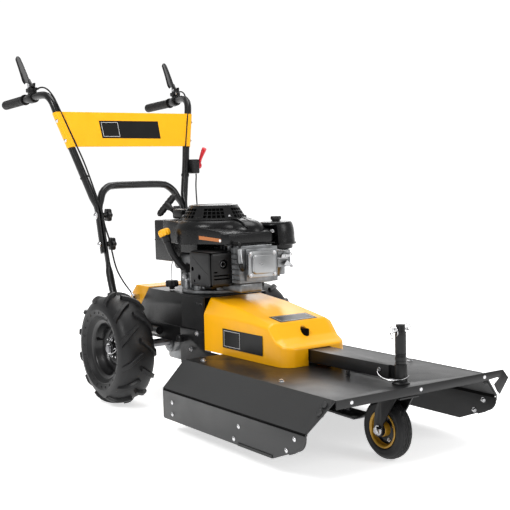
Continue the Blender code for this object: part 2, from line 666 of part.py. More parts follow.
def carburettor():
    body = box((0.1850, 0.1150, 0.3900), (0.2450, 0.1600, 0.4400))
    bowl = rod((0.2130, 0.138, 0.3660), (0.2130, 0.138, 0.3950), 0.0200, sides=20)
    throat = rod((0.2100, 0.0790, 0.4150), (0.2100, 0.1200, 0.4150), 0.0150, sides=20)
    neck = rod((0.2100, 0.1380, 0.4350), (0.2100, 0.1380, 0.4557), 0.0150, sides=20)
    finish(combine(body, [bowl, throat, neck]), "carburettor", "aluminium")


def build_engine():
    crankcase()
    valve_cover()
    blower_housing()
    starter_cage()
    muffler()
    fuel_system()
    oil_filler()
    air_filter()
    carburettor()


# ------------------------------------------------------------------ belt drive and blade
def pulley_profile(radius, low, high, bore):
    middle = (low + high) / 2.0
    groove = radius - 0.006
    return [(radius, high), (radius, high - 0.002), (groove, middle + 0.0035), (groove, middle - 0.0035),
            (radius, low + 0.002), (radius, low), (bore, low), (bore, high)]


def belt_drive():
    low, high = BELT_Z - 0.009, BELT_Z + 0.009
    shaft = rod((ENGINE_X, 0, 0.1780), (ENGINE_X, 0, 0.3400), 0.0125, sides=20)
    pulley = turned(pulley_profile(ENGINE_PULLEY_R, low, high, 0.0100), (ENGINE_X, 0, 0), (0, 0, 1), 24)
    finish(combine(pulley, [shaft]), "engine_pulley", "steel", "CRANKSHAFT")
    spindle = rod((BLADE_X, 0, 0.0420), (BLADE_X, 0, 0.2080), 0.0125, sides=20)
    wheel = turned(pulley_profile(BLADE_PULLEY_R, low, high, 0.0100), (BLADE_X, 0, 0), (0, 0, 1), 24)
    finish(combine(wheel, [spindle]), "blade_spindle", "steel", "BLADE")
    cartridge = [(0.0340, 0.1613), (0.0340, 0.1660), (0.0220, 0.1680), (0.0220, 0.1830),
                 (0.0128, 0.1830), (0.0128, 0.1613)]
    bearing = turned(cartridge, (BLADE_X, 0, 0), (0, 0, 1), 24)
    finish(bearing, "spindle_bearing", "aluminium")
    belt_path = belt_points()
    finish(tube(belt_path, BELT_R, 2, closed=True), "drive_belt", "rubber")


def belt_points():
    """Centre line of the belt: round each pulley's groove and straight between them."""
    clear = BELT_R + GAP + 0.0012
    small, large = ENGINE_PULLEY_R - 0.006 + clear, BLADE_PULLEY_R - 0.006 + clear
    lean = math.degrees(math.asin((large - small) / (BLADE_X - ENGINE_X)))
    path = arc((BLADE_X, 0), large, -90.0 - lean, 90.0 + lean, 13)
    path += arc((ENGINE_X, 0), small, 90.0 + lean, 270.0 - lean, 13)
    return [(x, y, BELT_Z) for x, y in path]


def blade():
    """Carrier bar with a folded knife at each end."""
    half = 0.030
    outline = arc((BLADE_R - 0.040, 0), 0.040, -60, 60, 5) + arc((-BLADE_R + 0.040, 0), 0.040, 120, 240, 5)
    bar = plate([(BLADE_X + x, max(-half, min(half, y))) for x, y in outline], 0.006, "xy", BLADE_Z)
    bore = rod((BLADE_X, 0, 0.03), (BLADE_X, 0, 0.08), 0.0128, sides=20)
    finish(cut(bar, [bore]), "blade_bar", "steel", "BLADE")


def build_drive():
    belt_drive()
    blade()


# ------------------------------------------------------------------ handle
def handle_hoop():
    """Lower U frame: both legs start along the chassis sides and meet in the crossbar."""
    y, foot = HOOP_Y, CHASSIS_HALF_W + TUBE_R + GAP
    half = [(-0.060, foot, 0.190), (-0.130, foot, 0.190), (-0.180, 0.1265, 0.193), (-0.228, 0.1430, 0.210),
            (-0.258, 0.1530, 0.235), (-0.285, y, 0.265), (-0.309, y, 0.314), (-0.333, y, 0.388),
            (FOLD_X, y, FOLD_Z), (CLAMP_X, y, CLAMP_Z), (-0.3755, y, 0.562),
            (-0.388, 0.1475, 0.588), (-0.397, 0.1370, 0.613),
            (-0.403, 0.1150, 0.632), (-0.405, 0.0880, 0.638)]
    spine = [(x, -w, z) for x, w, z in half] + [(-0.405, 0.0, 0.639)] + half[::-1]
    path = smooth_path(spine, 0.045)
    hoop = press_flat(tube(path, TUBE_R, 3), path, 0.380, 0.567)
    bolts = [rod((x, -0.18, z), (x, 0.18, z), 0.0043, sides=12)
             for x, z in ((FOLD_X, FOLD_Z), (CLAMP_X, CLAMP_Z))]
    finish(cut(hoop, bolts), "handle_hoop", "black_coat")


def bar_path(side):
    half = [(-0.3405, BAR_Y, 0.4180), (FOLD_X, BAR_Y, FOLD_Z), (CLAMP_X, BAR_Y, CLAMP_Z),
            (-0.3755, BAR_Y, 0.5620), (-0.3899, 0.1753, 0.6000), (-0.4206, 0.2024, 0.7000), PANEL_LOW, (-0.4538, 0.2291, 0.8000),
            PANEL_HIGH, (-0.4900, 0.2600, 0.9150), (-0.5150, 0.2670, 0.9390), (-0.5600, 0.2745, 0.9445),
            (-0.6490, 0.2850, 0.9370), GRIP_IN, (-0.7700, 0.28701, 0.93165), (-0.8300, 0.28801, 0.92900)]
    return smooth_path([(x, side * y, z) for x, y, z in half], 0.040)


def handlebar(side):
    """Upper handle tube, with the hinge hole and the fixed nut of the upper clamp at its pressed foot."""
    path = bar_path(side)
    bar = press_flat(tube(path, TUBE_R, 3), path, 0.400, 0.567)
    nut = rod((CLAMP_X, side * BAR_Y, CLAMP_Z), (CLAMP_X, side * (BAR_Y + 0.0145), CLAMP_Z), 0.0095, sides=12)
    hinge = rod((FOLD_X, side * 0.14, FOLD_Z), (FOLD_X, side * 0.23, FOLD_Z), 0.0043, sides=12)
    finish(cut(combine(bar, [nut]), [hinge]), side_name("handlebar", side), "black_coat", "HANDLEBAR")


def grip(side):
    inner, end = [Vector((x, side * y, z)) for x, y, z in (GRIP_IN, GRIP_END)]
    length = (end - inner).length
    profile = [(GRIP_R, length), (GRIP_R, 0.006), (0.0185, 0.005), (0.0185, 0.0), (TUBE_R + GAP + 0.0003, 0.0),
               (TUBE_R + GAP + 0.0003, length - 0.004), (0.0005, length - 0.004), (0.0005, length)]
    made = turned(profile, inner, end - inner, 24)
    finish(smooth(made), side_name("grip", side), "rubber", "HANDLEBAR")


def lever_bracket(side):
    """Clamp round the bar with two ears that hold the lever's pivot."""
    y = side * 0.2815
    ring = rod((-0.6240, y - side * 0.0010, 0.9392), (-0.5980, y - side * 0.0045, 0.9413), 0.0180, sides=24)
    ear = box((-0.6230, y - 0.0100, 0.948), (-0.6010, y + 0.0100, 0.9900))
    slot = box((-0.640, y - 0.0060, 0.9650), (-0.580, y + 0.0060, 1.010))
    tunnel = tube(bar_path(side), TUBE_R + GAP + 0.0003, 3)
    pin = rod((LEVER_X, y - 0.02, LEVER_Z), (LEVER_X, y + 0.02, LEVER_Z), 0.0028, sides=12)
    made = cut(combine(ring, [ear]), [slot, tunnel, pin])
    finish(made, side_name("lever_bracket", side), "black_plastic", "HANDLEBAR")


def lever(side):
    """Squeeze lever: a flat blade that stands up from its pivot and narrows to a rounded tip."""
    y = side * 0.2815
    tip = Vector((-0.7010, side * 0.2890, 1.0860))
    root = Vector((LEVER_X, y, LEVER_Z))
    boss = rod((LEVER_X, y - 0.0050, LEVER_Z), (LEVER_X, y + 0.0050, LEVER_Z), 0.0085, sides=20)
    arm = tube([root, root.lerp(tip, 0.15), root.lerp(tip, 0.45)], 0.0042, 2)
    along = (tip - root).normalized()
    across = (Vector((0, 1, 0)) - along * along.y).normalized()
    length = (tip - root).length
    blade = plate([(0.040, -0.0240), (0.040, 0.0030), (length - 0.004, 0.0080), (length + 0.003, 0.0030),
                   (length + 0.003, -0.0070), (length - 0.004, -0.0120)], 0.005, "xy", 0.0)
    turn = Matrix((along, across, along.cross(across))).transposed().to_4x4()
    blade.data.transform(Matrix.Translation(root) @ turn)
    eye = rod((LEVER_X, y - 0.02, LEVER_Z), (LEVER_X, y + 0.02, LEVER_Z), 0.0028, sides=12)
    made = cut(combine(boss, [arm, blade]), [eye])
    finish(made, side_name("lever", side), "black_plastic", side_name("LEVER", side))


def handle_panel():
    """Pressed yellow panel across the bars, wrapped round the front and outside of each."""
    thick = 0.0018
    radius = TUBE_R + thick + 0.0012
    low, high = Vector(PANEL_LOW), Vector(PANEL_HIGH)
    rise = high.z - low.z
    ahead = Vector((rise, 0.0, low.x - high.x)).normalized()
    rows = []
    for centre in (high, low):
        half = []
        for angle in (140.0, 110.0, 80.0, 50.0, 22.0, 0.0):
            turn = math.radians(angle)
            half.append(centre + ahead * radius * math.cos(turn) + Vector((0, radius * math.sin(turn), 0)))
        rows.append(half + [Vector((p.x, -p.y, p.z)) for p in half[::-1]])
    finish(sheet(rows, thick), "handle_panel", "yellow_paint", "HANDLEBAR")


def clamp_knob(stem, side, x, z, frame):
    """Moulded knob inside the hoop leg.  The lower one's stud is the bar's hinge pin, with its head outside;
    the upper one's stops in the leg, and its nut is fixed to the bar."""
    leg = HOOP_Y - PRESSED * TUBE_R - GAP
    bar = BAR_Y + PRESSED * TUBE_R + GAP
    reach = bar + 0.003 if stem == "lower_knob" else HOOP_Y + PRESSED * TUBE_R
    hub = rod((x, side * leg, z), (x, side * (leg - 0.014), z), 0.0090, sides=16)
    disc = rod((x, side * (leg - 0.012), z), (x, side * (leg - 0.027), z), 0.0230, 0.0200, sides=16)
    tools = [disc, rod((x, side * (leg - 0.005), z), (x, side * reach, z), 0.0040, sides=12)]
    if stem == "lower_knob":
        tools.append(rod((x, side * bar, z), (x, side * (bar + 0.008), z), 0.0095, sides=12))
    finish(combine(hub, tools), side_name(stem, side), "black_plastic", frame)


def throttle():
    """Throttle box on the left bar, its lever, and its cable down to the carburettor."""
    housing = box((-0.4250, 0.2100, 0.6720), (-0.3850, 0.2400, 0.7220))
    bevel(housing, 0.004, 2)
    clear = tube(bar_path(LEFT), TUBE_R + GAP + 0.0003, 3)
    finish(cut(housing, [clear]), "throttle_housing", "black_plastic", "HANDLEBAR")
    x, y, z = THROTTLE_HUB
    handle = tube([(x, y + 0.006, z), (x + 0.0120, y + 0.0065, z + 0.025), (x + 0.0350, y + 0.0080, z + 0.058)],
                  0.0052, 2)
    hub = rod((x, y + 0.0004, z), (x, y + 0.0110, z), 0.0110, sides=20)
    finish(combine(hub, [handle]), "throttle_lever", "red_plastic", "THROTTLE")
    route = [(-0.3930, 0.2280, 0.6712), (-0.3920, 0.2275, 0.6600), (-0.3800, 0.2180, 0.6200), (-0.3500, 0.2040, 0.5400),
             (-0.3140, 0.1900, 0.4470), (-0.2500, 0.1650, 0.3700), (-0.1600, 0.1350, 0.3400),
             (-0.0300, 0.1280, 0.3450), (0.0900, 0.1300, 0.3800), (0.1836, 0.1380, 0.4150)]
    finish(tube(smooth_path(route, 0.030), 0.0025, 1), "throttle_cable", "rubber", "HANDLEBAR")


def cables():
    """Clutch cables from the lever brackets over the front of each bar and down to the chassis."""
    down = [(-0.5965, 0.2760, 0.9660), (-0.5550, 0.2680, 0.9830), (-0.5200, 0.2620, 0.9740),
            (-0.4900, 0.2550, 0.9430), (-0.4735, 0.2530, 0.9180), (-0.4610, 0.2480, 0.8870),
            (-0.4250, 0.2140, 0.7700), (-0.4030, 0.1960, 0.7050), (-0.3710, 0.1690, 0.6000),
            (-0.3530, 0.1590, 0.5415), (-0.3440, 0.1570, 0.5080), (-0.3300, 0.1470, 0.4540),
            (-0.3270, 0.1430, 0.4240), (-0.3050, 0.1400, 0.3690), (-0.2650, 0.1380, 0.3300),
            (-0.2200, 0.1320, 0.2950)]
    for side in (RIGHT, LEFT):
        route = []
        for x, y, z in down:
            beside = 0.0070 if 0.60 < z < 0.95 else 0.0
            route.append((x, side * y + beside * (1.0 if z > 0.72 else 0.4), z))
        finish(tube(smooth_path(route, 0.030), 0.0028, 1), side_name("clutch_cable", side), "rubber",
               "HANDLEBAR")


def starter_grip():
    """Handle of the recoil starter in front of its rope guide, and the short run of rope between."""
    along = Vector((0.30, 0.60, 0.80)).normalized()
    middle = Vector(STARTER_GRIP)
    bar = tube([middle - along * 0.038, middle + along * 0.038], 0.0130, 3)
    neck_end = middle + Vector((0.0420, 0.0, -0.0160))
    neck = rod(middle, neck_end, 0.0100, 0.0060, sides=16)
    finish(combine(bar, [neck]), "starter_grip", "black_plastic", "STARTER")
    rope = rod(neck_end + Vector((0.0004, 0.0, -0.0002)), (-0.0612, -0.0480, 0.5502), 0.0020, sides=8)
    finish(rope, "starter_rope", "rubber", "MACHINE")


def build_handle():
    handle_hoop()
    handle_panel()
    for side in (RIGHT, LEFT):
        handlebar(side)
        grip(side)
        lever_bracket(side)
        lever(side)
        clamp_knob("lower_knob", side, FOLD_X, FOLD_Z, side_name("LOWER_KNOB", side))
        clamp_knob("upper_knob", side, CLAMP_X, CLAMP_Z, side_name("UPPER_KNOB", side))
    throttle()
    cables()
    starter_grip()


# ------------------------------------------------------------------ assembly
frame_empty("REAR_AXLE", MACHINE, (AXLE_X, 0.0, AXLE_Z))
frame_empty("CASTER", MACHINE, (POST_X, 0.0, DECK_TOP))
frame_empty("CASTER_WHEEL", FRAMES["CASTER"], (CASTER_X - POST_X, 0.0, CASTER_Z - DECK_TOP))
frame_empty("CRANKSHAFT", MACHINE, (ENGINE_X, 0.0, BELT_Z))
frame_empty("BLADE", MACHINE, (BLADE_X, 0.0, BELT_Z))
frame_empty("HANDLEBAR", MACHINE, (FOLD_X, 0.0, FOLD_Z))
frame_empty("THROTTLE", FRAMES["HANDLEBAR"],
            (THROTTLE_HUB[0] - FOLD_X, THROTTLE_HUB[1], THROTTLE_HUB[2] - FOLD_Z))
frame_empty("STARTER", MACHINE, STARTER_GRIP)
frame_empty("FUEL_CAP", MACHINE, (-0.0850, 0.050, 0.530))
frame_empty("OIL_CAP", MACHINE, OIL_MOUTH)
frame_empty("FILTER_KNOB", MACHINE, (FILTER_X, FILTER_Y, 0.524))
for each_side in (RIGHT, LEFT):
    frame_empty(side_name("LEVER", each_side), FRAMES["HANDLEBAR"],
                (LEVER_X - FOLD_X, each_side * 0.2815, LEVER_Z - FOLD_Z))
    frame_empty(side_name("LOWER_KNOB", each_side), MACHINE, (FOLD_X, each_side * HOOP_Y, FOLD_Z))
    frame_empty(side_name("UPPER_KNOB", each_side), MACHINE, (CLAMP_X, each_side * HOOP_Y, CLAMP_Z))

build_chassis()
build_deck()
build_caster()
drive_wheels()
build_engine()
build_drive()
build_handle()
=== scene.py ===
"""Looks of a walk-behind brush mower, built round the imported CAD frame.

Every point is given in the machine's own frame, as in the CAD: +X is the way it drives, +Y is its left
and +Z is up.  SEAT sets that frame down on the floor, a little nose-up, and put() applies it.
"""
import math

import bmesh
import bpy
from mathutils import Matrix, Vector


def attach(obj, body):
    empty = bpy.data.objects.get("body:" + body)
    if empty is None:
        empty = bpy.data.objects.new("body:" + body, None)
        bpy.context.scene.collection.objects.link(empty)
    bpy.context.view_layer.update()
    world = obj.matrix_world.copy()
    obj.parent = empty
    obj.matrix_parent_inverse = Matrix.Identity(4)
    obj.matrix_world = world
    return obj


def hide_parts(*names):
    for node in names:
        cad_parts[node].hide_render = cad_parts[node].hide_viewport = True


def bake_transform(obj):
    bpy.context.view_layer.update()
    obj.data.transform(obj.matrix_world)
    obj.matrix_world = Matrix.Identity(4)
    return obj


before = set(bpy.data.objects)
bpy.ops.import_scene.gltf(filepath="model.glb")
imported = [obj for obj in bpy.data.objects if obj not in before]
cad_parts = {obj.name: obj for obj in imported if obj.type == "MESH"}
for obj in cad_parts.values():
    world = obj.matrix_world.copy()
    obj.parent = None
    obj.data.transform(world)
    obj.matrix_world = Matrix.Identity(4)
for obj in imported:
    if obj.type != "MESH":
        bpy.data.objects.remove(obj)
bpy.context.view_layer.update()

# ------------------------------------------------------------------ the CAD's driving dimensions (metres)
TYRE_R, WHEEL_Y = 0.1703, 0.2589
AXLE_X, AXLE_Z = -0.0854, 0.1487
CASTER_R, CASTER_X, CASTER_Z, POST_X = 0.075, 0.847, 0.0419, 0.896
CENTRE_X, CENTRE_Y = 0.0444, 0.0045
DECK_REAR, DECK_FRONT, DECK_TOP = 0.280, 0.938, 0.161
DECK_HALF_W, SKIRT_Y = 0.237, 0.307
CHASSIS_HALF_W = 0.110
TUBE_R, PRESSED, HOOP_Y, GAP = 0.0125, 0.5, 0.1565, 0.0003
BAR_Y = HOOP_Y + 2.0 * PRESSED * TUBE_R + GAP
FOLD = (-0.3480, 0.4470)
CLAMP = (-0.3700, 0.5415)
PANEL_LOW, PANEL_HIGH = (-0.4425, 0.2191, 0.7640), (-0.4792, 0.2519, 0.8810)
GRIP_IN, GRIP_END = (-0.6600, 0.28519, 0.93652), (-0.8385, 0.28815, 0.92862)
LEVER = (-0.6120, 0.2815, 0.9800)
THROTTLE_HUB = (-0.4010, 0.2400, 0.7000)
STARTER_GRIP = (-0.1234, -0.0480, 0.5740)
ENGINE_X, BLADE_X, BLADE_Z, BLADE_R, BELT_Z = 0.075, 0.520, 0.055, 0.235, 0.193
FILTER_X, FILTER_Y = 0.202, 0.141
OIL_MOUTH = (0.0300, -0.1425, 0.4880)
RIGHT, LEFT = -1, 1
SIDES = (RIGHT, LEFT)

PITCH = (math.asin((CASTER_R - TYRE_R) / math.hypot(CASTER_X - AXLE_X, CASTER_Z - AXLE_Z))
         - math.atan2(CASTER_Z - AXLE_Z, CASTER_X - AXLE_X))
SEAT = (Matrix.Translation((-CENTRE_X, -CENTRE_Y,
                            TYRE_R - AXLE_X * math.sin(PITCH) - AXLE_Z * math.cos(PITCH)))
        @ Matrix.Rotation(-PITCH, 4, "Y"))


def side_name(stem, side):
    """The name of one of a left and right pair."""
    return f"{stem}_{'right' if side == RIGHT else 'left'}"


# ------------------------------------------------------------------ materials
LOOKS = {}


def look(name, slot, base, rough, metal=0.0, grain=900.0, depth=0.00015, vary=0.10, patch=18.0,
         coat=0.0, coat_rough=0.1, rough_spread=0.12, shine=0.5):
    """A procedural finish: fine grain in the bump, and slow drift in colour and roughness."""
    made = bpy.data.materials.new(name)
    made.use_nodes = True
    nodes, links = made.node_tree.nodes, made.node_tree.links
    shader = nodes["Principled BSDF"]
    shader.inputs["Metallic"].default_value = metal
    shader.inputs["Specular IOR Level"].default_value = shine
    shader.inputs["Coat Weight"].default_value = coat
    shader.inputs["Coat Roughness"].default_value = coat_rough
    place = nodes.new("ShaderNodeTexCoord")
    fine = nodes.new("ShaderNodeTexNoise")
    fine.inputs["Scale"].default_value = grain
    fine.inputs["Detail"].default_value = 3.0
    bump = nodes.new("ShaderNodeBump")
    bump.inputs["Strength"].default_value = 0.5
    bump.inputs["Distance"].default_value = depth
    broad = nodes.new("ShaderNodeTexNoise")
    broad.inputs["Scale"].default_value = patch
    broad.inputs["Detail"].default_value = 6.0
    ramp = nodes.new("ShaderNodeValToRGB")
    ramp.color_ramp.elements[0].position = 0.32
    ramp.color_ramp.elements[1].position = 0.68
    ramp.color_ramp.elements[0].color = (*[c * (1.0 - vary) for c in base], 1.0)
    ramp.color_ramp.elements[1].color = (*[min(1.0, c * (1.0 + vary)) for c in base], 1.0)
    spread = nodes.new("ShaderNodeMapRange")
    spread.inputs["From Min"].default_value = 0.3
    spread.inputs["From Max"].default_value = 0.7
    spread.inputs["To Min"].default_value = max(0.03, rough * (1.0 - rough_spread))
    spread.inputs["To Max"].default_value = min(1.0, rough * (1.0 + rough_spread))
    for source in (fine, broad):
        links.new(place.outputs["Object"], source.inputs["Vector"])
    links.new(fine.outputs["Fac"], bump.inputs["Height"])
    links.new(bump.outputs["Normal"], shader.inputs["Normal"])
    links.new(broad.outputs["Fac"], ramp.inputs["Fac"])
    links.new(ramp.outputs["Color"], shader.inputs["Base Color"])
    links.new(broad.outputs["Fac"], spread.inputs["Value"])
    links.new(spread.outputs["Result"], shader.inputs["Roughness"])
    LOOKS[name] = (made, slot)
    return made


look("powder_black", "black_coat", (0.0070, 0.0070, 0.0074), 0.36, depth=0.0003, grain=700.0, shine=0.34)
# A lighter copy of the black powder coat: painted light, for faces of the black deck that catch more light than its
# top.
look("powder_black_painted_light", "grey_coat", (0.020, 0.0205, 0.021), 0.42, depth=0.0003, grain=700.0, shine=0.40)
look("tube_black", "black_coat", (0.0060, 0.0060, 0.0064), 0.30, shine=0.36, coat=0.15, coat_rough=0.2)
look("yellow_gloss", "yellow_paint", (0.95, 0.44, 0.001), 0.34, coat=0.12, coat_rough=0.12, vary=0.03, shine=0.35)
look("yellow_moulded", "yellow_plastic", (0.90, 0.42, 0.003), 0.42, vary=0.04, grain=1400.0)
look("gold", "gold_paint", (0.50, 0.27, 0.02), 0.34, metal=0.35, coat=0.3)
look("cast_aluminium", "aluminium", (0.20, 0.205, 0.21), 0.38, metal=0.95, grain=500.0, depth=0.0005, vary=0.3,
     patch=40.0)
look("smooth_aluminium", "aluminium", (0.36, 0.365, 0.37), 0.30, metal=0.97, grain=1200.0, vary=0.10)
look("bright_zinc", "zinc", (0.58, 0.58, 0.59), 0.24, metal=1.0, vary=0.10, rough_spread=0.25)
look("bare_steel", "steel", (0.22, 0.22, 0.23), 0.38, metal=1.0, vary=0.2, patch=40.0, rough_spread=0.3)
look("copper_strip", "gold_paint", (0.55, 0.20, 0.07), 0.34, metal=0.7, vary=0.06)
look("tread_rubber", "tyre", (0.0075, 0.0075, 0.0080), 0.46, grain=420.0, depth=0.0006, vary=0.2, patch=30.0,
     shine=0.32)
look("grip_rubber", "rubber", (0.0070, 0.0070, 0.0074), 0.48, grain=600.0, depth=0.0003, shine=0.3)
look("cable_rubber", "rubber", (0.0060, 0.0060, 0.0060), 0.40, grain=1500.0, shine=0.3)
look("grained_plastic", "black_plastic", (0.0070, 0.0070, 0.0076), 0.42, grain=1100.0, depth=0.0005, shine=0.3)
look("gloss_plastic", "black_plastic", (0.0050, 0.0050, 0.0054), 0.27, grain=1500.0, depth=0.0002, shine=0.3)
# Near-black and matt: painted shade, laid in recesses, in gaps and behind holes where only shade shows.
look("painted_shade_black", "black_plastic", (0.002, 0.002, 0.002), 0.85, shine=0.1)
look("red_moulded", "red_plastic", (0.62, 0.008, 0.022), 0.35, vary=0.05)
look("decal_black", "black_plastic", (0.0060, 0.0060, 0.0060), 0.32, depth=0.00005, vary=0.03, shine=0.25)
look("decal_white", "zinc", (0.80, 0.80, 0.80), 0.40, depth=0.00005, vary=0.03)
look("rope_fibre", "rubber", (0.02, 0.02, 0.02), 0.85, grain=2500.0, depth=0.0008)


# ------------------------------------------------------------------ modelling helpers
def from_bmesh(mesh, tidy=True):
    """An unlinked object of a bmesh, which is freed."""
    data = bpy.data.meshes.new("mesh")
    if tidy:
        bmesh.ops.recalc_face_normals(mesh, faces=mesh.faces)
    mesh.to_mesh(data)
    mesh.free()
    return bpy.data.objects.new("object", data)


def to_mesh(obj):
    """Turn a curve or an object with modifiers into a welded plain mesh."""
    bpy.context.scene.collection.objects.link(obj)
    bpy.context.view_layer.update()
    data = bpy.data.meshes.new_from_object(obj.evaluated_get(bpy.context.evaluated_depsgraph_get()))
    mesh = bmesh.new()
    mesh.from_mesh(data)
    bmesh.ops.remove_doubles(mesh, verts=mesh.verts, dist=0.00001)
    bmesh.ops.recalc_face_normals(mesh, faces=mesh.faces)
    mesh.to_mesh(data)
    mesh.free()
    made = bpy.data.objects.new("object", data)
    bpy.data.objects.remove(obj, do_unlink=True)
    return made


def bevel(obj, width, segments=2, angle=35.0):
    """Round the edges sharper than an angle, by a modifier."""
    step = obj.modifiers.new("bevel", "BEVEL")
    step.width = width
    step.segments = segments
    step.limit_method = "ANGLE"
    step.angle_limit = math.radians(angle)
    return obj


def move(obj, matrix):
    """Transform a mesh in place, keeping its faces outward."""
    obj.data.transform(matrix)
    if matrix.determinant() < 0.0:
        obj.data.flip_normals()
    return obj


def join(parts):
    """One mesh of several, left as separate shells."""
    mesh = bmesh.new()
    for part in parts:
        if part.modifiers:
            part = to_mesh(part)
        mesh.from_mesh(part.data)
        bpy.data.objects.remove(part)
    return from_bmesh(mesh, tidy=False)


def put(obj, name, body, finish, stands_for=(), width=0.0, segments=2, angle=35.0, flow=None):
    """Set a piece down with the machine, finish it, and let it ride on a body; with flow set, it is left on no body."""
    if obj.modifiers:
        obj = to_mesh(obj)
    obj.data.transform(SEAT)
    obj.name = name
    obj.data.name = name
    bpy.context.scene.collection.objects.link(obj)
    made, slot = LOOKS[finish]
    obj.data.materials.clear()
    obj.data.materials.append(made)
    for face in obj.data.polygons:
        face.material_index = 0
    obj.data.shade_smooth()
    if width:
        bevel(obj, width, segments, angle)
        obj.modifiers["bevel"].harden_normals = True
    else:
        obj.data.set_sharp_from_angle(angle=math.radians(angle))
    if flow:
        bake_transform(obj)
    else:
        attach(obj, body)
    if stands_for:
        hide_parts(*stands_for)
    return obj


def refined(node):
    """A copy of a CAD node in machine coordinates, with its flat faces made whole again."""
    mesh = bmesh.new()
    mesh.from_mesh(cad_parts[node].data)
    bmesh.ops.transform(mesh, matrix=SEAT.inverted(), verts=mesh.verts)
    bmesh.ops.remove_doubles(mesh, verts=mesh.verts, dist=0.00002)
    bmesh.ops.dissolve_limit(mesh, angle_limit=math.radians(1.0), verts=mesh.verts, edges=mesh.edges)
    return from_bmesh(mesh)


def refine(node, body, finish, width, segments=2, extra=()):
    """Put back a CAD node with its edges rounded, and extra parts with it."""
    parts = [refined(node)] + list(extra)
    return put(join(parts), f"{node}_fine", body, finish, (node,), width, segments)


def box(low, high):
    """A block between its lowest and highest corners."""
    mesh = bmesh.new()
    size = [b - a for a, b in zip(low, high)]
    middle = [(a + b) / 2.0 for a, b in zip(low, high)]
    bmesh.ops.create_cube(mesh, size=1.0)
    bmesh.ops.scale(mesh, vec=size, verts=mesh.verts)
    bmesh.ops.translate(mesh, vec=middle, verts=mesh.verts)
    return from_bmesh(mesh)


def soft_box(low, high, width, segments=2):
    """A block with its edges rounded."""
    return to_mesh(bevel(box(low, high), width, segments))


def aim(start, end):
    """Placement with its origin at start and +Z towards end."""
    start, end = Vector(start), Vector(end)
    return Matrix.Translation(start) @ (end - start).to_track_quat("Z", "Y").to_matrix().to_4x4()


def rod(start, end, radius, end_radius=None, sides=24):
    """A bar or cone between two points."""
    length = (Vector(end) - Vector(start)).length
    mesh = bmesh.new()
    bmesh.ops.create_cone(mesh, cap_ends=True, segments=sides, radius1=radius,
                          radius2=radius if end_radius is None else end_radius, depth=length,
                          matrix=aim(start, end) @ Matrix.Translation((0, 0, length / 2.0)))
    return from_bmesh(mesh)


def turned(profile, centre, axis, steps=48, closed=True):
    """Turn an outline of (radius, distance along the axis) about an axis through centre."""
    mesh = bmesh.new()
    rings = []
    for r, s in profile:
        if r < 0.0006:
            rings.append([mesh.verts.new((0.0, 0.0, s))])
        else:
            rings.append([mesh.verts.new((r * math.cos(2 * math.pi * i / steps),
                                          r * math.sin(2 * math.pi * i / steps), s))
                          for i in range(steps)])
    pairs = list(zip(rings, rings[1:] + (rings[:1] if closed else [])))
    for a, b in pairs:
        if len(a) == 1 and len(b) == 1:
            continue
        for i in range(steps):
            j = (i + 1) % steps
            corner = [a[0] if len(a) == 1 else a[i], b[0] if len(b) == 1 else b[i]]
            if len(b) > 1:
                corner.append(b[j])
            if len(a) > 1:
                corner.append(a[j])
            mesh.faces.new(corner)
    obj = from_bmesh(mesh)
    turn = Vector(axis).to_track_quat("Z", "Y").to_matrix().to_4x4()
    obj.data.transform(Matrix.Translation(centre) @ turn)
    return obj


def plate(outline, thickness, plane, level):
    """A flat plate of a 2D outline; plane names its axes, and level is its middle along the third."""
    columns = {"xz": ((1, 0, 0), (0, 0, 1), (0, 1, 0)), "xy": ((1, 0, 0), (0, 1, 0), (0, 0, 1)),
               "yz": ((0, 1, 0), (0, 0, 1), (1, 0, 0))}[plane]
    turn = Matrix(columns).transposed().to_4x4()
    mesh = bmesh.new()
    low, high = [[mesh.verts.new((u, v, level + h)) for u, v in outline] for h in (-thickness / 2, thickness / 2)]
    mesh.faces.new(low[::-1])
    mesh.faces.new(high)
    for i in range(len(outline)):
        j = (i + 1) % len(outline)
        mesh.faces.new((low[i], low[j], high[j], high[i]))
    bmesh.ops.transform(mesh, matrix=turn, verts=mesh.verts)
    return from_bmesh(mesh)


def skin(rows, thickness, closed_ends=False, round_off=0.0, segments=3, inward=True):
    """A surface through rows of points, its folds rounded, thickened by Solidify."""
    mesh = bmesh.new()
    grid = [[mesh.verts.new(point) for point in row] for row in rows]
    for row, following in zip(grid, grid[1:]):
        for a, b, c, d in zip(row, row[1:], following[1:], following):
            mesh.faces.new((a, b, c, d))
    if closed_ends:
        mesh.faces.new(grid[-1])
    bmesh.ops.remove_doubles(mesh, verts=mesh.verts, dist=0.00001)
    obj = from_bmesh(mesh)
    if round_off:
        obj = to_mesh(bevel(obj, round_off, segments, 14.0))
    solid = obj.modifiers.new("solidify", "SOLIDIFY")
    solid.thickness = thickness
    solid.offset = -1.0 if inward else 1.0
    solid.use_even_offset = True
    return to_mesh(obj)


def smooth_path(points, spacing=0.012):
    """Points along one smooth curve through the given points."""
    points = [Vector(point) for point in points]
    ends = [2 * points[0] - points[1]] + points + [2 * points[-1] - points[-2]]
    path = []
    for p0, p1, p2, p3 in zip(ends, ends[1:], ends[2:], ends[3:]):
        count = max(1, round((p2 - p1).length / spacing))
        for step in range(count):
            t = step / count
            path.append(0.5 * (2 * p1 + (p2 - p0) * t + (2 * p0 - 5 * p1 + 4 * p2 - p3) * t * t
                               + (3 * p1 - p0 - 3 * p2 + p3) * t ** 3))
    path.append(points[-1])
    return path


def tube(points, radius, resolution=4, closed=False):
    """A round bar or tube along a path."""
    curve = bpy.data.curves.new("path", "CURVE")
    curve.dimensions = "3D"
    curve.bevel_depth = radius
    curve.bevel_resolution = resolution
    curve.use_fill_caps = not closed
    spline = curve.splines.new("POLY")
    spline.points.add(len(points) - 1)
    for knot, point in zip(spline.points, points):
        knot.co = (*point, 1.0)
    spline.use_cyclic_u = closed
    return to_mesh(bpy.data.objects.new("path", curve))


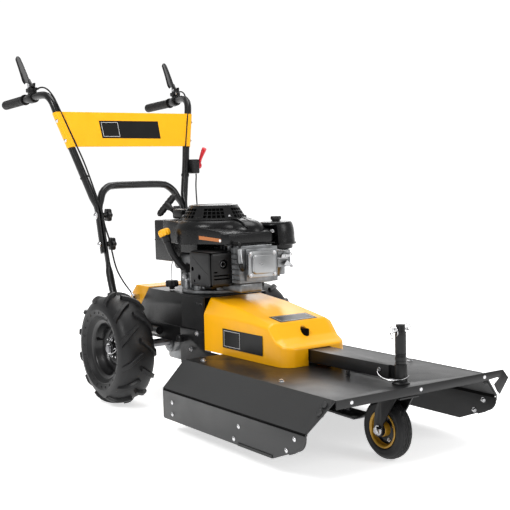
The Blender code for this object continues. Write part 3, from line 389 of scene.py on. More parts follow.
def combine(obj, tools, operation="UNION"):
    """Join tools to an object, or cut them out of it, and keep one plain mesh."""
    for tool in tools:
        bpy.context.scene.collection.objects.link(tool)
        step = obj.modifiers.new(operation.lower(), "BOOLEAN")
        step.operation = operation
        step.object = tool
        step.solver = "EXACT"
    made = to_mesh(obj)
    for tool in tools:
        bpy.data.objects.remove(tool, do_unlink=True)
    return made


def cut(obj, tools):
    """Take tools out of an object."""
    return combine(obj, tools, "DIFFERENCE")


def arc(centre, radius, start, end, count):
    """Points on an arc in a plane, angles in degrees."""
    angles = [math.radians(start + (end - start) * i / (count - 1)) for i in range(count)]
    return [(centre[0] + radius * math.cos(a), centre[1] + radius * math.sin(a)) for a in angles]


def rounded(low, high, radius, count=4):
    """A rectangle with rounded corners, from its lowest to its highest corner."""
    (u0, v0), (u1, v1) = low, high
    return (arc((u1 - radius, v1 - radius), radius, 0, 90, count)
            + arc((u0 + radius, v1 - radius), radius, 90, 180, count)
            + arc((u0 + radius, v0 + radius), radius, 180, 270, count)
            + arc((u1 - radius, v0 + radius), radius, 270, 360, count))


def hex_bolt(seat, along, size=0.0065, stud=0.0):
    """Hexagon head on a washer, standing off its seat, with its chamfer; stud adds a thread end."""
    seat, along = Vector(seat), Vector(along).normalized()
    tall = size * 0.85
    parts = [turned([(0.0, 0.0), (size * 1.45, 0.0), (size * 1.45, 0.0010), (size * 1.35, 0.0014), (0.0, 0.0014)],
                    seat, along, 24, closed=False),
             rod(seat + along * 0.0012, seat + along * (0.0012 + tall * 0.78), size, sides=6),
             rod(seat + along * (0.0012 + tall * 0.76), seat + along * (0.0012 + tall), size * 0.98,
                 size * 0.80, sides=6)]
    if stud:
        parts.append(turned([(size * 0.52, 0.0), (size * 0.52, tall + stud), (size * 0.42, tall + stud + 0.0012),
                             (0.0, tall + stud + 0.0012)], seat, along, 16, closed=False))
    return join(parts)


def dome_bolt(seat, along, size=0.007):
    """Round-headed coach bolt with a flange."""
    profile = [(size * 1.25, 0.0), (size * 1.25, 0.0008), (size, 0.0012), (size * 0.93, size * 0.34),
               (size * 0.62, size * 0.62), (size * 0.25, size * 0.74), (0.0, size * 0.76)]
    return turned(profile, seat, along, 24, closed=False)


def ribbed(start, end, profile, count, depth, steps):
    """A lathe about start-to-end whose radius swells and sinks count times round."""
    obj = turned(profile, (0, 0, 0), (0, 0, 1), steps, closed=False)
    for vertex in obj.data.vertices:
        angle = math.atan2(vertex.co.y, vertex.co.x)
        scale = 1.0 - depth * (0.5 - 0.5 * math.cos(count * angle))
        vertex.co.x *= scale
        vertex.co.y *= scale
    obj.data.transform(aim(start, end))
    return obj


def press_flat(obj, path, low, high, blend=0.025):
    """Squash a rising tube sideways about its own centre line between two heights."""
    for side in SIDES:
        leg = sorted((p.z, p.y) for p in path if p.y * side > 0.0)
        if not leg:
            continue
        for vertex in obj.data.vertices:
            spot = vertex.co
            outside = max(low - spot.z, spot.z - high, 0.0)
            if spot.y * side <= 0.0 or outside >= blend:
                continue
            middle = leg[-1][1]
            for (z0, y0), (z1, y1) in zip(leg, leg[1:]):
                if spot.z <= z1:
                    middle = y0 + (y1 - y0) * (spot.z - z0) / max(1e-6, z1 - z0)
                    break
            spot.y = middle + (spot.y - middle) * (PRESSED + (1.0 - PRESSED) * outside / blend)
    return obj


# ------------------------------------------------------------------ camera, light and floor
CAMERA_AT, LENS, SENSOR = (2.6688, -1.638, 0.6734), 71.47, 36.0
CAMERA_SHIFT = (-0.0007, 0.0045)
LOOKS_ALONG, LOOKS_RIGHT = (-0.82027, 0.56573, -0.08419), (0.56917, 0.8219, -0.02219)
BACKDROP = (-0.82, 0.57, 0.0)
LAMP_TARGET = (0.0, 0.0, 0.35)
LAMPS = (("key", (1.2, -2.6, 2.6), 1.2, 52.0), ("fill", (3.4, 1.2, 2.0), 1.6, 34.0),
         ("top", (-0.2, 0.3, 3.4), 2.2, 52.0), ("back", (-2.6, 1.6, 2.0), 1.8, 24.0))


def stage():
    """Camera, a room that is brightest behind the machine, four soft lamps and a pale floor."""
    camera = bpy.data.objects.new("camera", bpy.data.cameras.new("camera"))
    bpy.context.scene.collection.objects.link(camera)
    forward = SEAT.to_3x3() @ Vector(LOOKS_ALONG).normalized()
    right = SEAT.to_3x3() @ Vector(LOOKS_RIGHT).normalized()
    up = right.cross(forward).normalized()
    right = forward.cross(up)
    turn = Matrix((right, up, -forward)).transposed().to_4x4()
    camera.matrix_world = Matrix.Translation(SEAT @ Vector(CAMERA_AT)) @ turn
    camera.data.lens, camera.data.sensor_width = LENS, SENSOR
    camera.data.shift_x, camera.data.shift_y = CAMERA_SHIFT
    bpy.context.scene.camera = camera
    bpy.context.scene.view_settings.view_transform = "Standard"

    world = bpy.data.worlds.new("studio")
    world.use_nodes = True
    background = world.node_tree.nodes["Background"]
    background.inputs["Color"].default_value = (1.0, 1.0, 1.0, 1.0)
    nodes, links = world.node_tree.nodes, world.node_tree.links
    place = nodes.new("ShaderNodeTexCoord")
    facing = nodes.new("ShaderNodeVectorMath")
    facing.operation = "DOT_PRODUCT"
    facing.inputs[1].default_value = BACKDROP
    fade = nodes.new("ShaderNodeMapRange")
    fade.inputs["From Min"].default_value = 0.35
    fade.inputs["From Max"].default_value = 0.80
    fade.inputs["To Min"].default_value = 0.42
    fade.inputs["To Max"].default_value = 1.05
    links.new(place.outputs["Generated"], facing.inputs[0])
    links.new(facing.outputs["Value"], fade.inputs["Value"])
    links.new(fade.outputs["Result"], background.inputs["Strength"])
    bpy.context.scene.world = world

    mesh = bmesh.new()
    bmesh.ops.create_grid(mesh, x_segments=2, y_segments=2, size=14.0)
    floor = from_bmesh(mesh)
    floor.name = "floor"
    bpy.context.scene.collection.objects.link(floor)
    paint = bpy.data.materials.new("floor_paint")
    paint.use_nodes = True
    matt = paint.node_tree.nodes["Principled BSDF"].inputs
    matt["Base Color"].default_value = (0.93, 0.93, 0.93, 1.0)
    matt["Roughness"].default_value = 0.9
    matt["Emission Color"].default_value = (1.0, 1.0, 1.0, 1.0)
    matt["Emission Strength"].default_value = 0.62
    floor.data.materials.append(paint)

    for name, place, size, power in LAMPS:
        lamp = bpy.data.objects.new(name, bpy.data.lights.new(name, "AREA"))
        lamp.data.shape = "DISK"
        lamp.data.size = size
        lamp.data.energy = power
        lamp.location = place
        lamp.rotation_euler = (Vector(LAMP_TARGET) - Vector(place)).to_track_quat("-Z", "Y").to_euler()
        bpy.context.scene.collection.objects.link(lamp)


# ------------------------------------------------------------------ drive wheels
TREAD = [(0.1595, 0.0), (0.1592, 0.012), (0.1580, 0.024), (0.1548, 0.036), (0.1490, 0.0465), (0.1400, 0.0535)]


def on_tread(reach):
    """Radius, offset and outward normal a share of the way from the crown to the side wall."""
    spots = [Vector((r, s)) for r, s in TREAD]
    lengths = [0.0]
    for a, b in zip(spots, spots[1:]):
        lengths.append(lengths[-1] + (b - a).length)
    want = reach * lengths[-1]
    for i in range(len(spots) - 1):
        if want <= lengths[i + 1] + 1e-9:
            t = (want - lengths[i]) / (lengths[i + 1] - lengths[i])
            spot = spots[i].lerp(spots[i + 1], t)
            along = (spots[i + 1] - spots[i]).normalized()
            return spot, Vector((along.y, -along.x))
    return spots[-1], Vector((0.0, 1.0))


def lug(start_angle, hand):
    """One bar of the chevron tread: from near the crown, back and out to the shoulder."""
    mesh = bmesh.new()
    rows = []
    stations = 9
    for i in range(stations):
        reach = -0.02 + 0.98 * i / (stations - 1)
        spot, normal = on_tread(max(0.0, reach))
        offset = spot.y if reach > 0.0 else -0.0012
        angle = start_angle - 0.30 * max(0.0, reach) ** 1.15
        tall = 0.0108 * (1.0 - 0.45 * max(0.0, reach) ** 3)
        half = 0.0062 + 0.0035 * max(0.0, reach)
        row = []
        for wide, lift in ((-1.25, -0.003), (-0.92, tall * 0.86), (-0.72, tall), (0.72, tall),
                           (0.92, tall * 0.86), (1.25, -0.003)):
            r = spot.x + normal.x * lift
            s = min(0.0588, offset + normal.y * lift)
            turn = angle + wide * half / 0.160
            row.append(mesh.verts.new((r * math.cos(turn), r * math.sin(turn), s * hand)))
        rows.append(row)
    for a, b in zip(rows, rows[1:]):
        for k in range(5):
            mesh.faces.new((a[k], a[k + 1], b[k + 1], b[k]))
    mesh.faces.new(rows[0])
    mesh.faces.new(rows[-1][::-1])
    return from_bmesh(mesh)


def drive_tyre(side):
    """Carcass with moulded sidewall rings, two staggered rows of lugs and small pips round the shoulder."""
    wall = [(0.1320, 0.0572), (0.1238, 0.0585), (0.1215, 0.0588), (0.1205, 0.0583), (0.1120, 0.0560),
            (0.1035, 0.0520), (0.1020, 0.0524), (0.1006, 0.0508), (0.0960, 0.0450), (0.0925, 0.0405),
            (0.0895, 0.0390), (0.0800, 0.0355), (0.0795, 0.0300)]
    half = TREAD + wall
    carcass = turned([(r, s) for r, s in half[::-1]] + [(r, -s) for r, s in half[1:]], (0, 0, 0), (0, 0, 1),
                     96, closed=False)
    lugs = []
    for k in range(12):
        angle = 2.0 * math.pi * k / 12
        lugs += [lug(angle, 1), lug(angle + math.pi / 12, -1)]
    pips = []
    for k in range(24):
        turn = Matrix.Rotation(2.0 * math.pi * k / 24, 4, "Z")
        for hand in (1, -1):
            pip = soft_box((0.1100, -0.0012, 0.0540), (0.1175, 0.0012, 0.0579), 0.0006, 1)
            pip.data.transform(turn @ Matrix.Scale(hand, 4, (0, 0, 1)))
            if hand < 0:
                pip.data.flip_normals()
            pips.append(pip)
    tyre = join([carcass] + lugs + pips)
    tyre.data.transform(Matrix.Translation((AXLE_X, side * WHEEL_Y, AXLE_Z))
                        @ Vector((0, side, 0)).to_track_quat("Z", "Y").to_matrix().to_4x4())
    put(tyre, side_name("tyre", side), "drive_axle", "tread_rubber", (side_name("drive_tyre", side),),
        angle=32.0)


def drive_rim(side):
    """Dished steel disc wheel: rolled lips, drop centre, vent holes and a raised hub face."""
    face = [(0.0, 0.0010), (0.0240, 0.0010), (0.0300, 0.0030), (0.0400, 0.0075), (0.0470, 0.0080),
            (0.0560, 0.0020), (0.0620, -0.0020), (0.0662, 0.0010), (0.0690, 0.0090), (0.0715, 0.0180),
            (0.0760, 0.0230), (0.0775, 0.0335), (0.0800, 0.0372), (0.0860, 0.0392), (0.0893, 0.0402),
            (0.0903, 0.0388), (0.0893, 0.0374), (0.0850, 0.0366), (0.0800, 0.0340), (0.0785, 0.0300)]
    back = [(0.0770, 0.0200), (0.0720, 0.0120), (0.0700, -0.0150), (0.0775, -0.0250), (0.0790, -0.0345),
            (0.0860, -0.0380), (0.0900, -0.0392), (0.0893, -0.0406), (0.0855, -0.0402), (0.0785, -0.0380),
            (0.0750, -0.0300), (0.0730, -0.0220), (0.0690, -0.0160), (0.0660, -0.0040), (0.0560, -0.0010),
            (0.0300, -0.0010), (0.0240, -0.0020), (0.0, -0.0020)]
    centre = Vector((AXLE_X, side * WHEEL_Y, AXLE_Z))
    out = Vector((0, side, 0))
    disc = turned(face + back, centre, out, 72, closed=False)
    hub = turned([(0.0125, -0.0450), (0.0215, -0.0450), (0.0220, -0.0440), (0.0220, 0.0225), (0.0205, 0.0240),
                  (0.0165, 0.0242), (0.0165, 0.0262), (0.0126, 0.0262)], centre, out, 40, closed=False)
    put(join([disc, hub]), side_name("rim", side), "drive_axle", "tube_black", (side_name("drive_rim", side),),
        angle=40.0)
    bolts = []
    for k in range(4):
        turn = math.radians(45 + 90 * k)
        seat = centre + Vector((0.034 * math.cos(turn), side * 0.0052, 0.034 * math.sin(turn)))
        bolts.append(hex_bolt(seat, out, 0.0062, stud=0.006))
    bolts.append(turned([(0.0162, 0.0262), (0.0162, 0.0274), (0.0126, 0.0274)], centre, out, 32, closed=False))
    bolts.append(rod(centre + out * 0.0274, centre + out * 0.0292, 0.0119, 0.0105, sides=6))
    valve = centre + Vector((-0.0700, side * 0.0130, 0.0200))
    clip = [centre + Vector((x, side * y, z)) for x, y, z in
            ((-0.030, 0.0180, -0.006), (-0.020, 0.0205, -0.004), (0.0, 0.0252, -0.0145), (0.018, 0.0240, -0.012),
             (0.033, 0.0210, -0.004), (0.036, 0.0200, 0.002), (0.030, 0.0205, 0.005), (0.024, 0.0215, 0.000))]
    bolts.append(tube(smooth_path(clip, 0.004), 0.0013, 2))
    put(join(bolts), side_name("wheel_bolts", side), "drive_axle", "bright_zinc")
    stem = [rod(valve, valve + out * 0.0150, 0.0040, 0.0030, 16),
            rod(valve + out * 0.0150, valve + out * 0.0200, 0.0036, 0.0034, 12)]
    put(join(stem), side_name("valve", side), "drive_axle", "grip_rubber")


def wheels():
    """The two drive wheels on their axle."""
    for side in SIDES:
        drive_tyre(side)
        drive_rim(side)
    refine("rear_axle", "drive_axle", "bare_steel", 0.0012)


# ------------------------------------------------------------------ castor
def castor():
    """Front wheel, fork, stem with its lynch pin, and the beam that carries them."""
    out = Vector((0, -1, 0))
    centre = Vector((CASTER_X, 0.0, CASTER_Z))
    tread = [(0.0735, 0.0), (0.0735, 0.0012), (0.0750, 0.0016), (0.0750, 0.0040), (0.0735, 0.0044),
             (0.0733, 0.0056), (0.0746, 0.0060), (0.0743, 0.0084), (0.0727, 0.0088), (0.0724, 0.0100),
             (0.0734, 0.0104), (0.0722, 0.0128), (0.0704, 0.0138), (0.0690, 0.0162)]
    wall = [(0.0660, 0.0192), (0.0625, 0.0204), (0.0600, 0.0205), (0.0590, 0.0200), (0.0550, 0.0200),
            (0.0505, 0.0192), (0.0465, 0.0170), (0.0452, 0.0150)]
    half = tread + wall
    tyre = turned([(r, s) for r, s in half[::-1]] + [(r, -s) for r, s in half[1:]], (0, 0, 0), (0, 0, 1), 120,
                  closed=False)
    for vertex in tyre.data.vertices:
        spot = vertex.co
        if spot.xy.length > 0.0737 and abs(spot.z) > 0.0055:
            step = int(math.floor(math.atan2(spot.y, spot.x) / (2 * math.pi) * 60.0 + 0.5)) % 2
            if step:
                spot.xy *= 0.0728 / spot.xy.length
    tyre.data.transform(Matrix.Translation(centre) @ out.to_track_quat("Z", "Y").to_matrix().to_4x4())
    put(tyre, "castor_tyre", "caster_wheel", "tread_rubber", ("caster_tyre",), angle=30.0)
    shell = []
    for hand in (1, -1):
        shell.append(turned([(0.0160, 0.0225 * hand), (0.0170, 0.0215 * hand), (0.0180, 0.0060 * hand),
                             (0.0230, 0.0035 * hand), (0.0340, 0.0040 * hand), (0.0375, 0.0070 * hand),
                             (0.0392, 0.0130 * hand), (0.0398, 0.0172 * hand), (0.0425, 0.0192 * hand),
                             (0.0455, 0.0196 * hand), (0.0463, 0.0184 * hand), (0.0455, 0.0172 * hand),
                             (0.0420, 0.0160 * hand), (0.0410, 0.0100 * hand), (0.0395, 0.0 * hand)],
                            centre, out, 56, closed=False))
    put(join(shell), "castor_rim", "caster_wheel", "gold", ("caster_rim",), angle=40.0)
    dish = [turned([(0.0180, 0.0066 * hand), (0.0230, 0.0042 * hand), (0.0335, 0.0046 * hand), (0.0366, 0.0072 * hand)],
                   centre, out, 56, closed=False) for hand in (1, -1)]
    put(join(dish), "castor_dish", "caster_wheel", "tube_black", angle=40.0)
    hub = [turned([(0.0063, s), (0.0155, s), (0.0158, s * 0.95), (0.0158, 0.0)], centre, out, 32, closed=False)
           for s in (0.0230, -0.0230)]
    put(join(hub), "castor_hub", "caster_wheel", "grained_plastic")
    bolts = []
    for k in range(4):
        turn = math.radians(20 + 90 * k)
        for hand in (1, -1):
            seat = centre + Vector((0.0285 * math.cos(turn), hand * 0.0042, 0.0285 * math.sin(turn)))
            bolts.append(hex_bolt(seat, (0, hand, 0), 0.0035, stud=0.001))
    put(join(bolts), "castor_rim_bolts", "caster_wheel", "bright_zinc")

    refine("caster_fork", "caster", "powder_black", 0.0009, 2)
    refine("caster_axle_bolt", "caster", "bright_zinc", 0.0008, 2,
           [turned([(0.0060, s * 0.0311), (0.0125, s * 0.0311), (0.0125, s * 0.0322), (0.0060, s * 0.0322)],
                   centre, (0, 1, 0), 28) for s in (-1, 1)])
    profile = [(0.0112, 0.2863), (0.0128, 0.2863), (0.0135, 0.2855)]
    for z in (0.2820, 0.2340, 0.2320, 0.2300, 0.2280, 0.2260, 0.2160):
        profile += [(0.0135, z + 0.0008), (0.0126, z + 0.0004), (0.0126, z - 0.0004), (0.0135, z - 0.0008)]
    profile += [(0.0135, 0.2092), (0.0128, 0.2084), (0.0112, 0.2084)]
    put(turned(profile, (POST_X, 0, 0), (0, 0, 1), 48), "castor_spacer", "caster", "powder_black",
        ("caster_spacer",), angle=30.0)
    pin = [rod((POST_X, -0.0235, 0.2915), (POST_X, 0.0235, 0.2915), 0.0029, sides=20),
           turned([(0.0, -0.0250), (0.0052, -0.0246), (0.0060, -0.0235), (0.0060, -0.0180), (0.0050, -0.0170),
                   (0.0, -0.0168)], (POST_X, 0, 0.2915), (0, 1, 0), 24, closed=False)]
    loop = [(POST_X + 0.0140 * math.cos(a), -0.0215 - 0.0015 * math.sin(a), 0.2885 + 0.0135 * math.sin(a))
            for a in [math.radians(-60 + 300 * i / 30) for i in range(31)]]
    pin.append(tube(loop, 0.0010, 3))
    far = [(POST_X + 0.0085 * math.cos(a), 0.0225 + 0.0020 * math.cos(a), 0.2955 + 0.0075 * math.sin(a))
           for a in [math.radians(-150 + 320 * i / 26) for i in range(27)]]
    pin.append(tube(far, 0.0009, 3))
    near = [(POST_X - 0.006 + 0.0075 * math.cos(a), -0.0225 - 0.0020 * math.cos(a), 0.2775 + 0.0070 * math.sin(a))
            for a in [math.radians(-150 + 320 * i / 26) for i in range(27)]]
    pin.append(tube(near, 0.0009, 3))
    put(join(pin), "lynch_pin", "caster", "bright_zinc", ("caster_pin",))

    foot = turned([(0.0158, 0.1612), (0.0215, 0.1612), (0.0215, 0.1630), (0.0178, 0.1650), (0.0158, 0.1665)],
                  (POST_X, 0, 0), (0, 0, 1), 48)
    refine("caster_beam", "chassis", "powder_black", 0.0022, 3, [foot])
    wire = [(0.842, -0.0225, 0.1900), (0.846, -0.0300, 0.1890), (0.855, -0.0370, 0.1840), (0.872, -0.0400, 0.1770),
            (0.892, -0.0350, 0.1730), (0.908, -0.0220, 0.1735), (0.917, -0.0060, 0.1770), (0.918, 0.0050, 0.1830)]
    curl = [(0.842 + 0.004 * math.cos(a), -0.0212, 0.1900 + 0.004 * math.sin(a))
            for a in [math.radians(330 * i / 16) for i in range(17)]]
    clip = [tube(smooth_path(wire, 0.004), 0.0011, 3), tube(curl, 0.0011, 3),
            rod((0.842, -0.0265, 0.1900), (0.842, -0.0150, 0.1900), 0.0018, sides=12)]
    put(join(clip), "beam_clip", "chassis", "bright_zinc")


# ------------------------------------------------------------------ deck
def deck():
    """Deck shell, folded skirts, their edging and the bolts that show."""
    refine("deck_shell", "chassis", "powder_black", 0.0011, 2)
    refine("rear_baffle", "chassis", "powder_black", 0.0010, 1)
    for side in SIDES:
        # Skirts, deck slopes and front edging wear the lighter copy of the black powder coat: painted light, making
        # these faces lighter than the deck top.
        refine(side_name("skirt", side), "chassis", "powder_black_painted_light", 0.0009, 2)
        slope = [[(DECK_REAR + 0.001, side * 0.2374, 0.1614), (DECK_FRONT - 0.003, side * 0.2374, 0.1614)],
                 [(DECK_REAR + 0.001, side * 0.3066, 0.0918), (0.9165, side * 0.3066, 0.0918)]]
        rows = slope if side > 0 else [row[::-1] for row in slope]
        put(skin(rows, 0.0008, inward=False), side_name("deck_slope", side), "chassis", "powder_black_painted_light",
            width=0.0003, segments=1)
        strip = plate([(0.647, 0.0096), (0.791, 0.0096), (0.791, 0.0172), (0.647, 0.0172)], 0.0022, "xz",
                      side * (SKIRT_Y + 0.0008))
        put(strip, side_name("skirt_edging", side), "chassis", "grip_rubber", width=0.0006)
        edge = []
        line = [(DECK_FRONT + 0.0010, side * 0.2400, 0.1600), (0.9190, side * 0.3060, 0.0930)]
        edge.append(tube([Vector(p) for p in line], 0.0022, 2))
        edge.append(tube([Vector(p) for p in ((0.9190, side * 0.3062, 0.0920), (0.9190, side * 0.3062, 0.0800),
                                              (0.9050, side * 0.3062, 0.0560), (0.8800, side * 0.3062, 0.0420),
                                              (0.8560, side * 0.3062, 0.0330))], 0.0016, 2))
        for x, z in ((0.9180, 0.1480), (0.9190, 0.1330)):
            y = side * (DECK_HALF_W + (DECK_TOP - z) * 1.0 + 0.0005)
            edge.append(turned([(0.0, -0.0060), (0.0075, -0.0060), (0.0090, -0.0040), (0.0090, 0.0050),
                                (0.0070, 0.0075), (0.0, 0.0085)], (x, y, z - 0.001), (0.25, side * 0.70, 0.67), 24,
                               closed=False))
        put(join(edge), side_name("deck_edge", side), "chassis", "powder_black_painted_light", angle=40.0)
        # The seam line stands for the joint; the black box behind it is painted shade, closing the gap between slope
        # and skirt where light would show through.
        seam = tube([Vector((DECK_REAR + 0.002, side * 0.3068, 0.0916)), Vector((0.9185, side * 0.3068, 0.0916))],
                    0.0012, 2)
        shade_backing = box((DECK_REAR + 0.002, min(side * 0.2990, side * 0.3050), 0.0860),
                      (0.9150, max(side * 0.2990, side * 0.3050), 0.0935))
        put(join([seam, shade_backing]), side_name("deck_seam_and_painted_shade", side), "chassis", "painted_shade_black")
        bolts = [dome_bolt((x, side * SKIRT_Y, z), (0, side, 0), 0.0048)
                 for x, z in ((0.651, 0.058), (0.629, 0.023), (0.877, 0.073), (0.846, 0.041), (0.330, 0.060),
                              (0.330, 0.028))]
        flange = [dome_bolt((DECK_REAR + 0.0030, side * y, z), (-1, 0, 0), 0.0040)
                  for y, z in ((0.296, 0.070), (0.296, 0.045), (0.296, 0.024), (0.262, 0.122), (0.240, 0.146))]
        put(join(bolts + flange), side_name("skirt_bolts", side), "chassis", "bright_zinc")
        inner = [hex_bolt((x, side * 0.3040, z), (0, -side, 0), 0.0050, stud=0.003)
                 for x, z in ((0.877, 0.073), (0.846, 0.041))]
        put(join(inner), side_name("skirt_nuts", side), "chassis", "bright_zinc")
        flange_skin = [box((DECK_REAR - 0.0006, min(side * 0.2860, side * 0.3068), 0.0110),
                           (DECK_REAR + 0.0032, max(side * 0.2860, side * 0.3068), 0.0900))]
        put(join(flange_skin), side_name("skirt_flange", side), "chassis", "powder_black", width=0.0008)
    front = [hex_bolt((0.9370, y, 0.1510), (1, 0, 0), 0.0052) for y in (-0.192, 0.022, 0.239)]
    top = [hex_bolt((x, y, DECK_TOP), (0, 0, 1), 0.0055) for x, y in ((0.693, -0.206), (0.700, 0.214),
                                                                      (0.330, -0.206), (0.330, 0.206))]
    peg = turned([(0.0, 0.0120), (0.0040, 0.0115), (0.0048, 0.0100), (0.0048, 0.0)], (0.738, -0.032, DECK_TOP),
                 (0, 0, 1), 20, closed=False)
    put(join(front + top), "deck_bolts", "chassis", "bright_zinc")
    put(peg, "deck_peg", "chassis", "grained_plastic")


# ------------------------------------------------------------------ chassis and covers
def framed_decal(name, corners, lift, boxes):
    """A dark blank label with pale outlined panels, lying on a flat face; corners run round it."""
    a, b, c, d = [Vector(p) for p in corners]
    out = (b - a).cross(d - a).normalized()

    def spot(u, v, height):
        return a + (b - a) * u + (d - a) * v + ((c - b) - (d - a)) * (u * v) + out * height

    mesh = bmesh.new()
    count = 6
    grid = [[mesh.verts.new(spot(i / count, j / count, lift)) for i in range(count + 1)] for j in range(count + 1)]
    for row, following in zip(grid, grid[1:]):
        for p, q, r, s in zip(row, row[1:], following[1:], following):
            mesh.faces.new((p, q, r, s))
    label = from_bmesh(mesh, tidy=False)
    solid = label.modifiers.new("solidify", "SOLIDIFY")
    solid.thickness = 0.0003
    solid.offset = -1.0
    put(label, name, "chassis" if "panel" not in name else "handlebar", "decal_black")
    lines = []
    for u0, v0, u1, v1 in boxes:
        wide = 0.0011
        run = [spot(u, v, lift + 0.0001) for u, v in ((u0, v0), (u1, v0), (u1, v1), (u0, v1))]
        for p, q in zip(run, run[1:] + run[:1]):
            along = (q - p).normalized()
            across = out.cross(along) * wide * 0.5
            mesh = bmesh.new()
            quad = [mesh.verts.new(v) for v in (p - along * wide / 2 - across, q + along * wide / 2 - across,
                                                q + along * wide / 2 + across, p - along * wide / 2 + across)]
            mesh.faces.new(quad)
            strip = from_bmesh(mesh, tidy=False)
            solid = strip.modifiers.new("solidify", "SOLIDIFY")
            solid.thickness = 0.0002
            solid.offset = 1.0
            lines.append(strip)
    put(join(lines), f"{name}_lines", "chassis" if "panel" not in name else "handlebar", "decal_white")


COVER_SECTIONS = [
    # x, foot half width, shoulder half width, shoulder z, top half width, top z
    (0.1900, 0.1135, 0.1135, 0.268, 0.089, 0.312),
    (0.3280, 0.1115, 0.1115, 0.267, 0.091, 0.298),
    (0.4410, 0.1095, 0.1095, 0.264, 0.092, 0.279),
    (0.4980, 0.1085, 0.1080, 0.259, 0.089, 0.270),
    (0.5300, 0.1075, 0.1060, 0.225, 0.084, 0.232),
    (0.5530, 0.1050, 0.1020, 0.216, 0.080, 0.2185),
    (0.5680, 0.0950, 0.0920, 0.213, 0.074, 0.2150),
    (0.5765, 0.0780, 0.0760, 0.209, 0.065, 0.2110),
]


def belt_cover():
    """Folded yellow hood over the belt, with its blank labels and the bolt well, whose black lining is painted shade.
    """
    low = DECK_TOP + GAP
    rows = [[(x, -foot, low), (x, -shoulder, knee), (x, -crown, top), (x, crown, top),
             (x, shoulder, knee), (x, foot, low)] for x, foot, shoulder, knee, crown, top in COVER_SECTIONS]
    hood = skin(rows, 0.0025, closed_ends=True, round_off=0.0055, segments=4)
    mouth = box((0.555, -0.0325, 0.150), (0.600, 0.0425, 0.2055))
    hole = rod((0.520, 0, 0.225), (0.520, 0, 0.275), 0.0120, sides=32)
    put(cut(hood, [mouth, hole]), "belt_hood", "chassis", "yellow_gloss", ("belt_cover",), angle=24.0)
    # The cup under the hood's bolt hole is black for painted shade in the recess.
    well = turned([(0.0, 0.2300), (0.0119, 0.2300), (0.0119, 0.2490), (0.0098, 0.2490), (0.0098, 0.2360),
                   (0.0, 0.2360)], (0.520, 0, 0), (0, 0, 1), 32, closed=False)
    put(well, "hood_well_painted_shade", "chassis", "painted_shade_black")
    put(hex_bolt((0.520, 0, 0.2330), (0, 0, 1), 0.0068), "hood_bolt", "chassis", "bare_steel")
    for side in SIDES:
        corners = [(0.287, side * 0.1127, 0.182), (0.478, side * 0.1098, 0.182), (0.478, side * 0.1097, 0.236),
                   (0.287, side * 0.1126, 0.236)]
        if side == LEFT:
            corners = [corners[1], corners[0], corners[3], corners[2]]
        panes = [(0.04, 0.10, 0.44, 0.90)] if side == RIGHT else [(0.56, 0.10, 0.96, 0.90)]
        framed_decal(side_name("cover_decal", side), corners, 0.0009, panes)
    framed_decal("cover_decal_top", [(0.4420, -0.0630, 0.2788), (0.4960, -0.0620, 0.2703), (0.4945, 0.0640, 0.2706),
                                     (0.4420, 0.0630, 0.2788)], 0.0007, [(0.12, 0.06, 0.88, 0.94)])


def rear_cover():
    """Folded yellow cover behind the engine."""
    outer = [(-0.1478, 0.319), (-0.227, 0.319), (-0.269, 0.282), (-0.262, 0.232), (-0.1955, 0.232),
             (-0.1955, 0.2615), (-0.1430, 0.3156), (-0.1430, 0.319)]
    hollow = [(-0.130, 0.3172), (-0.2262, 0.3172), (-0.2668, 0.2812), (-0.2600, 0.220), (-0.130, 0.220)]
    body = to_mesh(bevel(plate(outer, 2.0 * CHASSIS_HALF_W, "xz", 0.0), 0.0022, 3))
    inside = plate(hollow, 2.0 * (CHASSIS_HALF_W - 0.002), "xz", 0.0)
    put(cut(body, [inside]), "rear_hood", "chassis", "yellow_gloss", ("rear_cover",), angle=24.0)


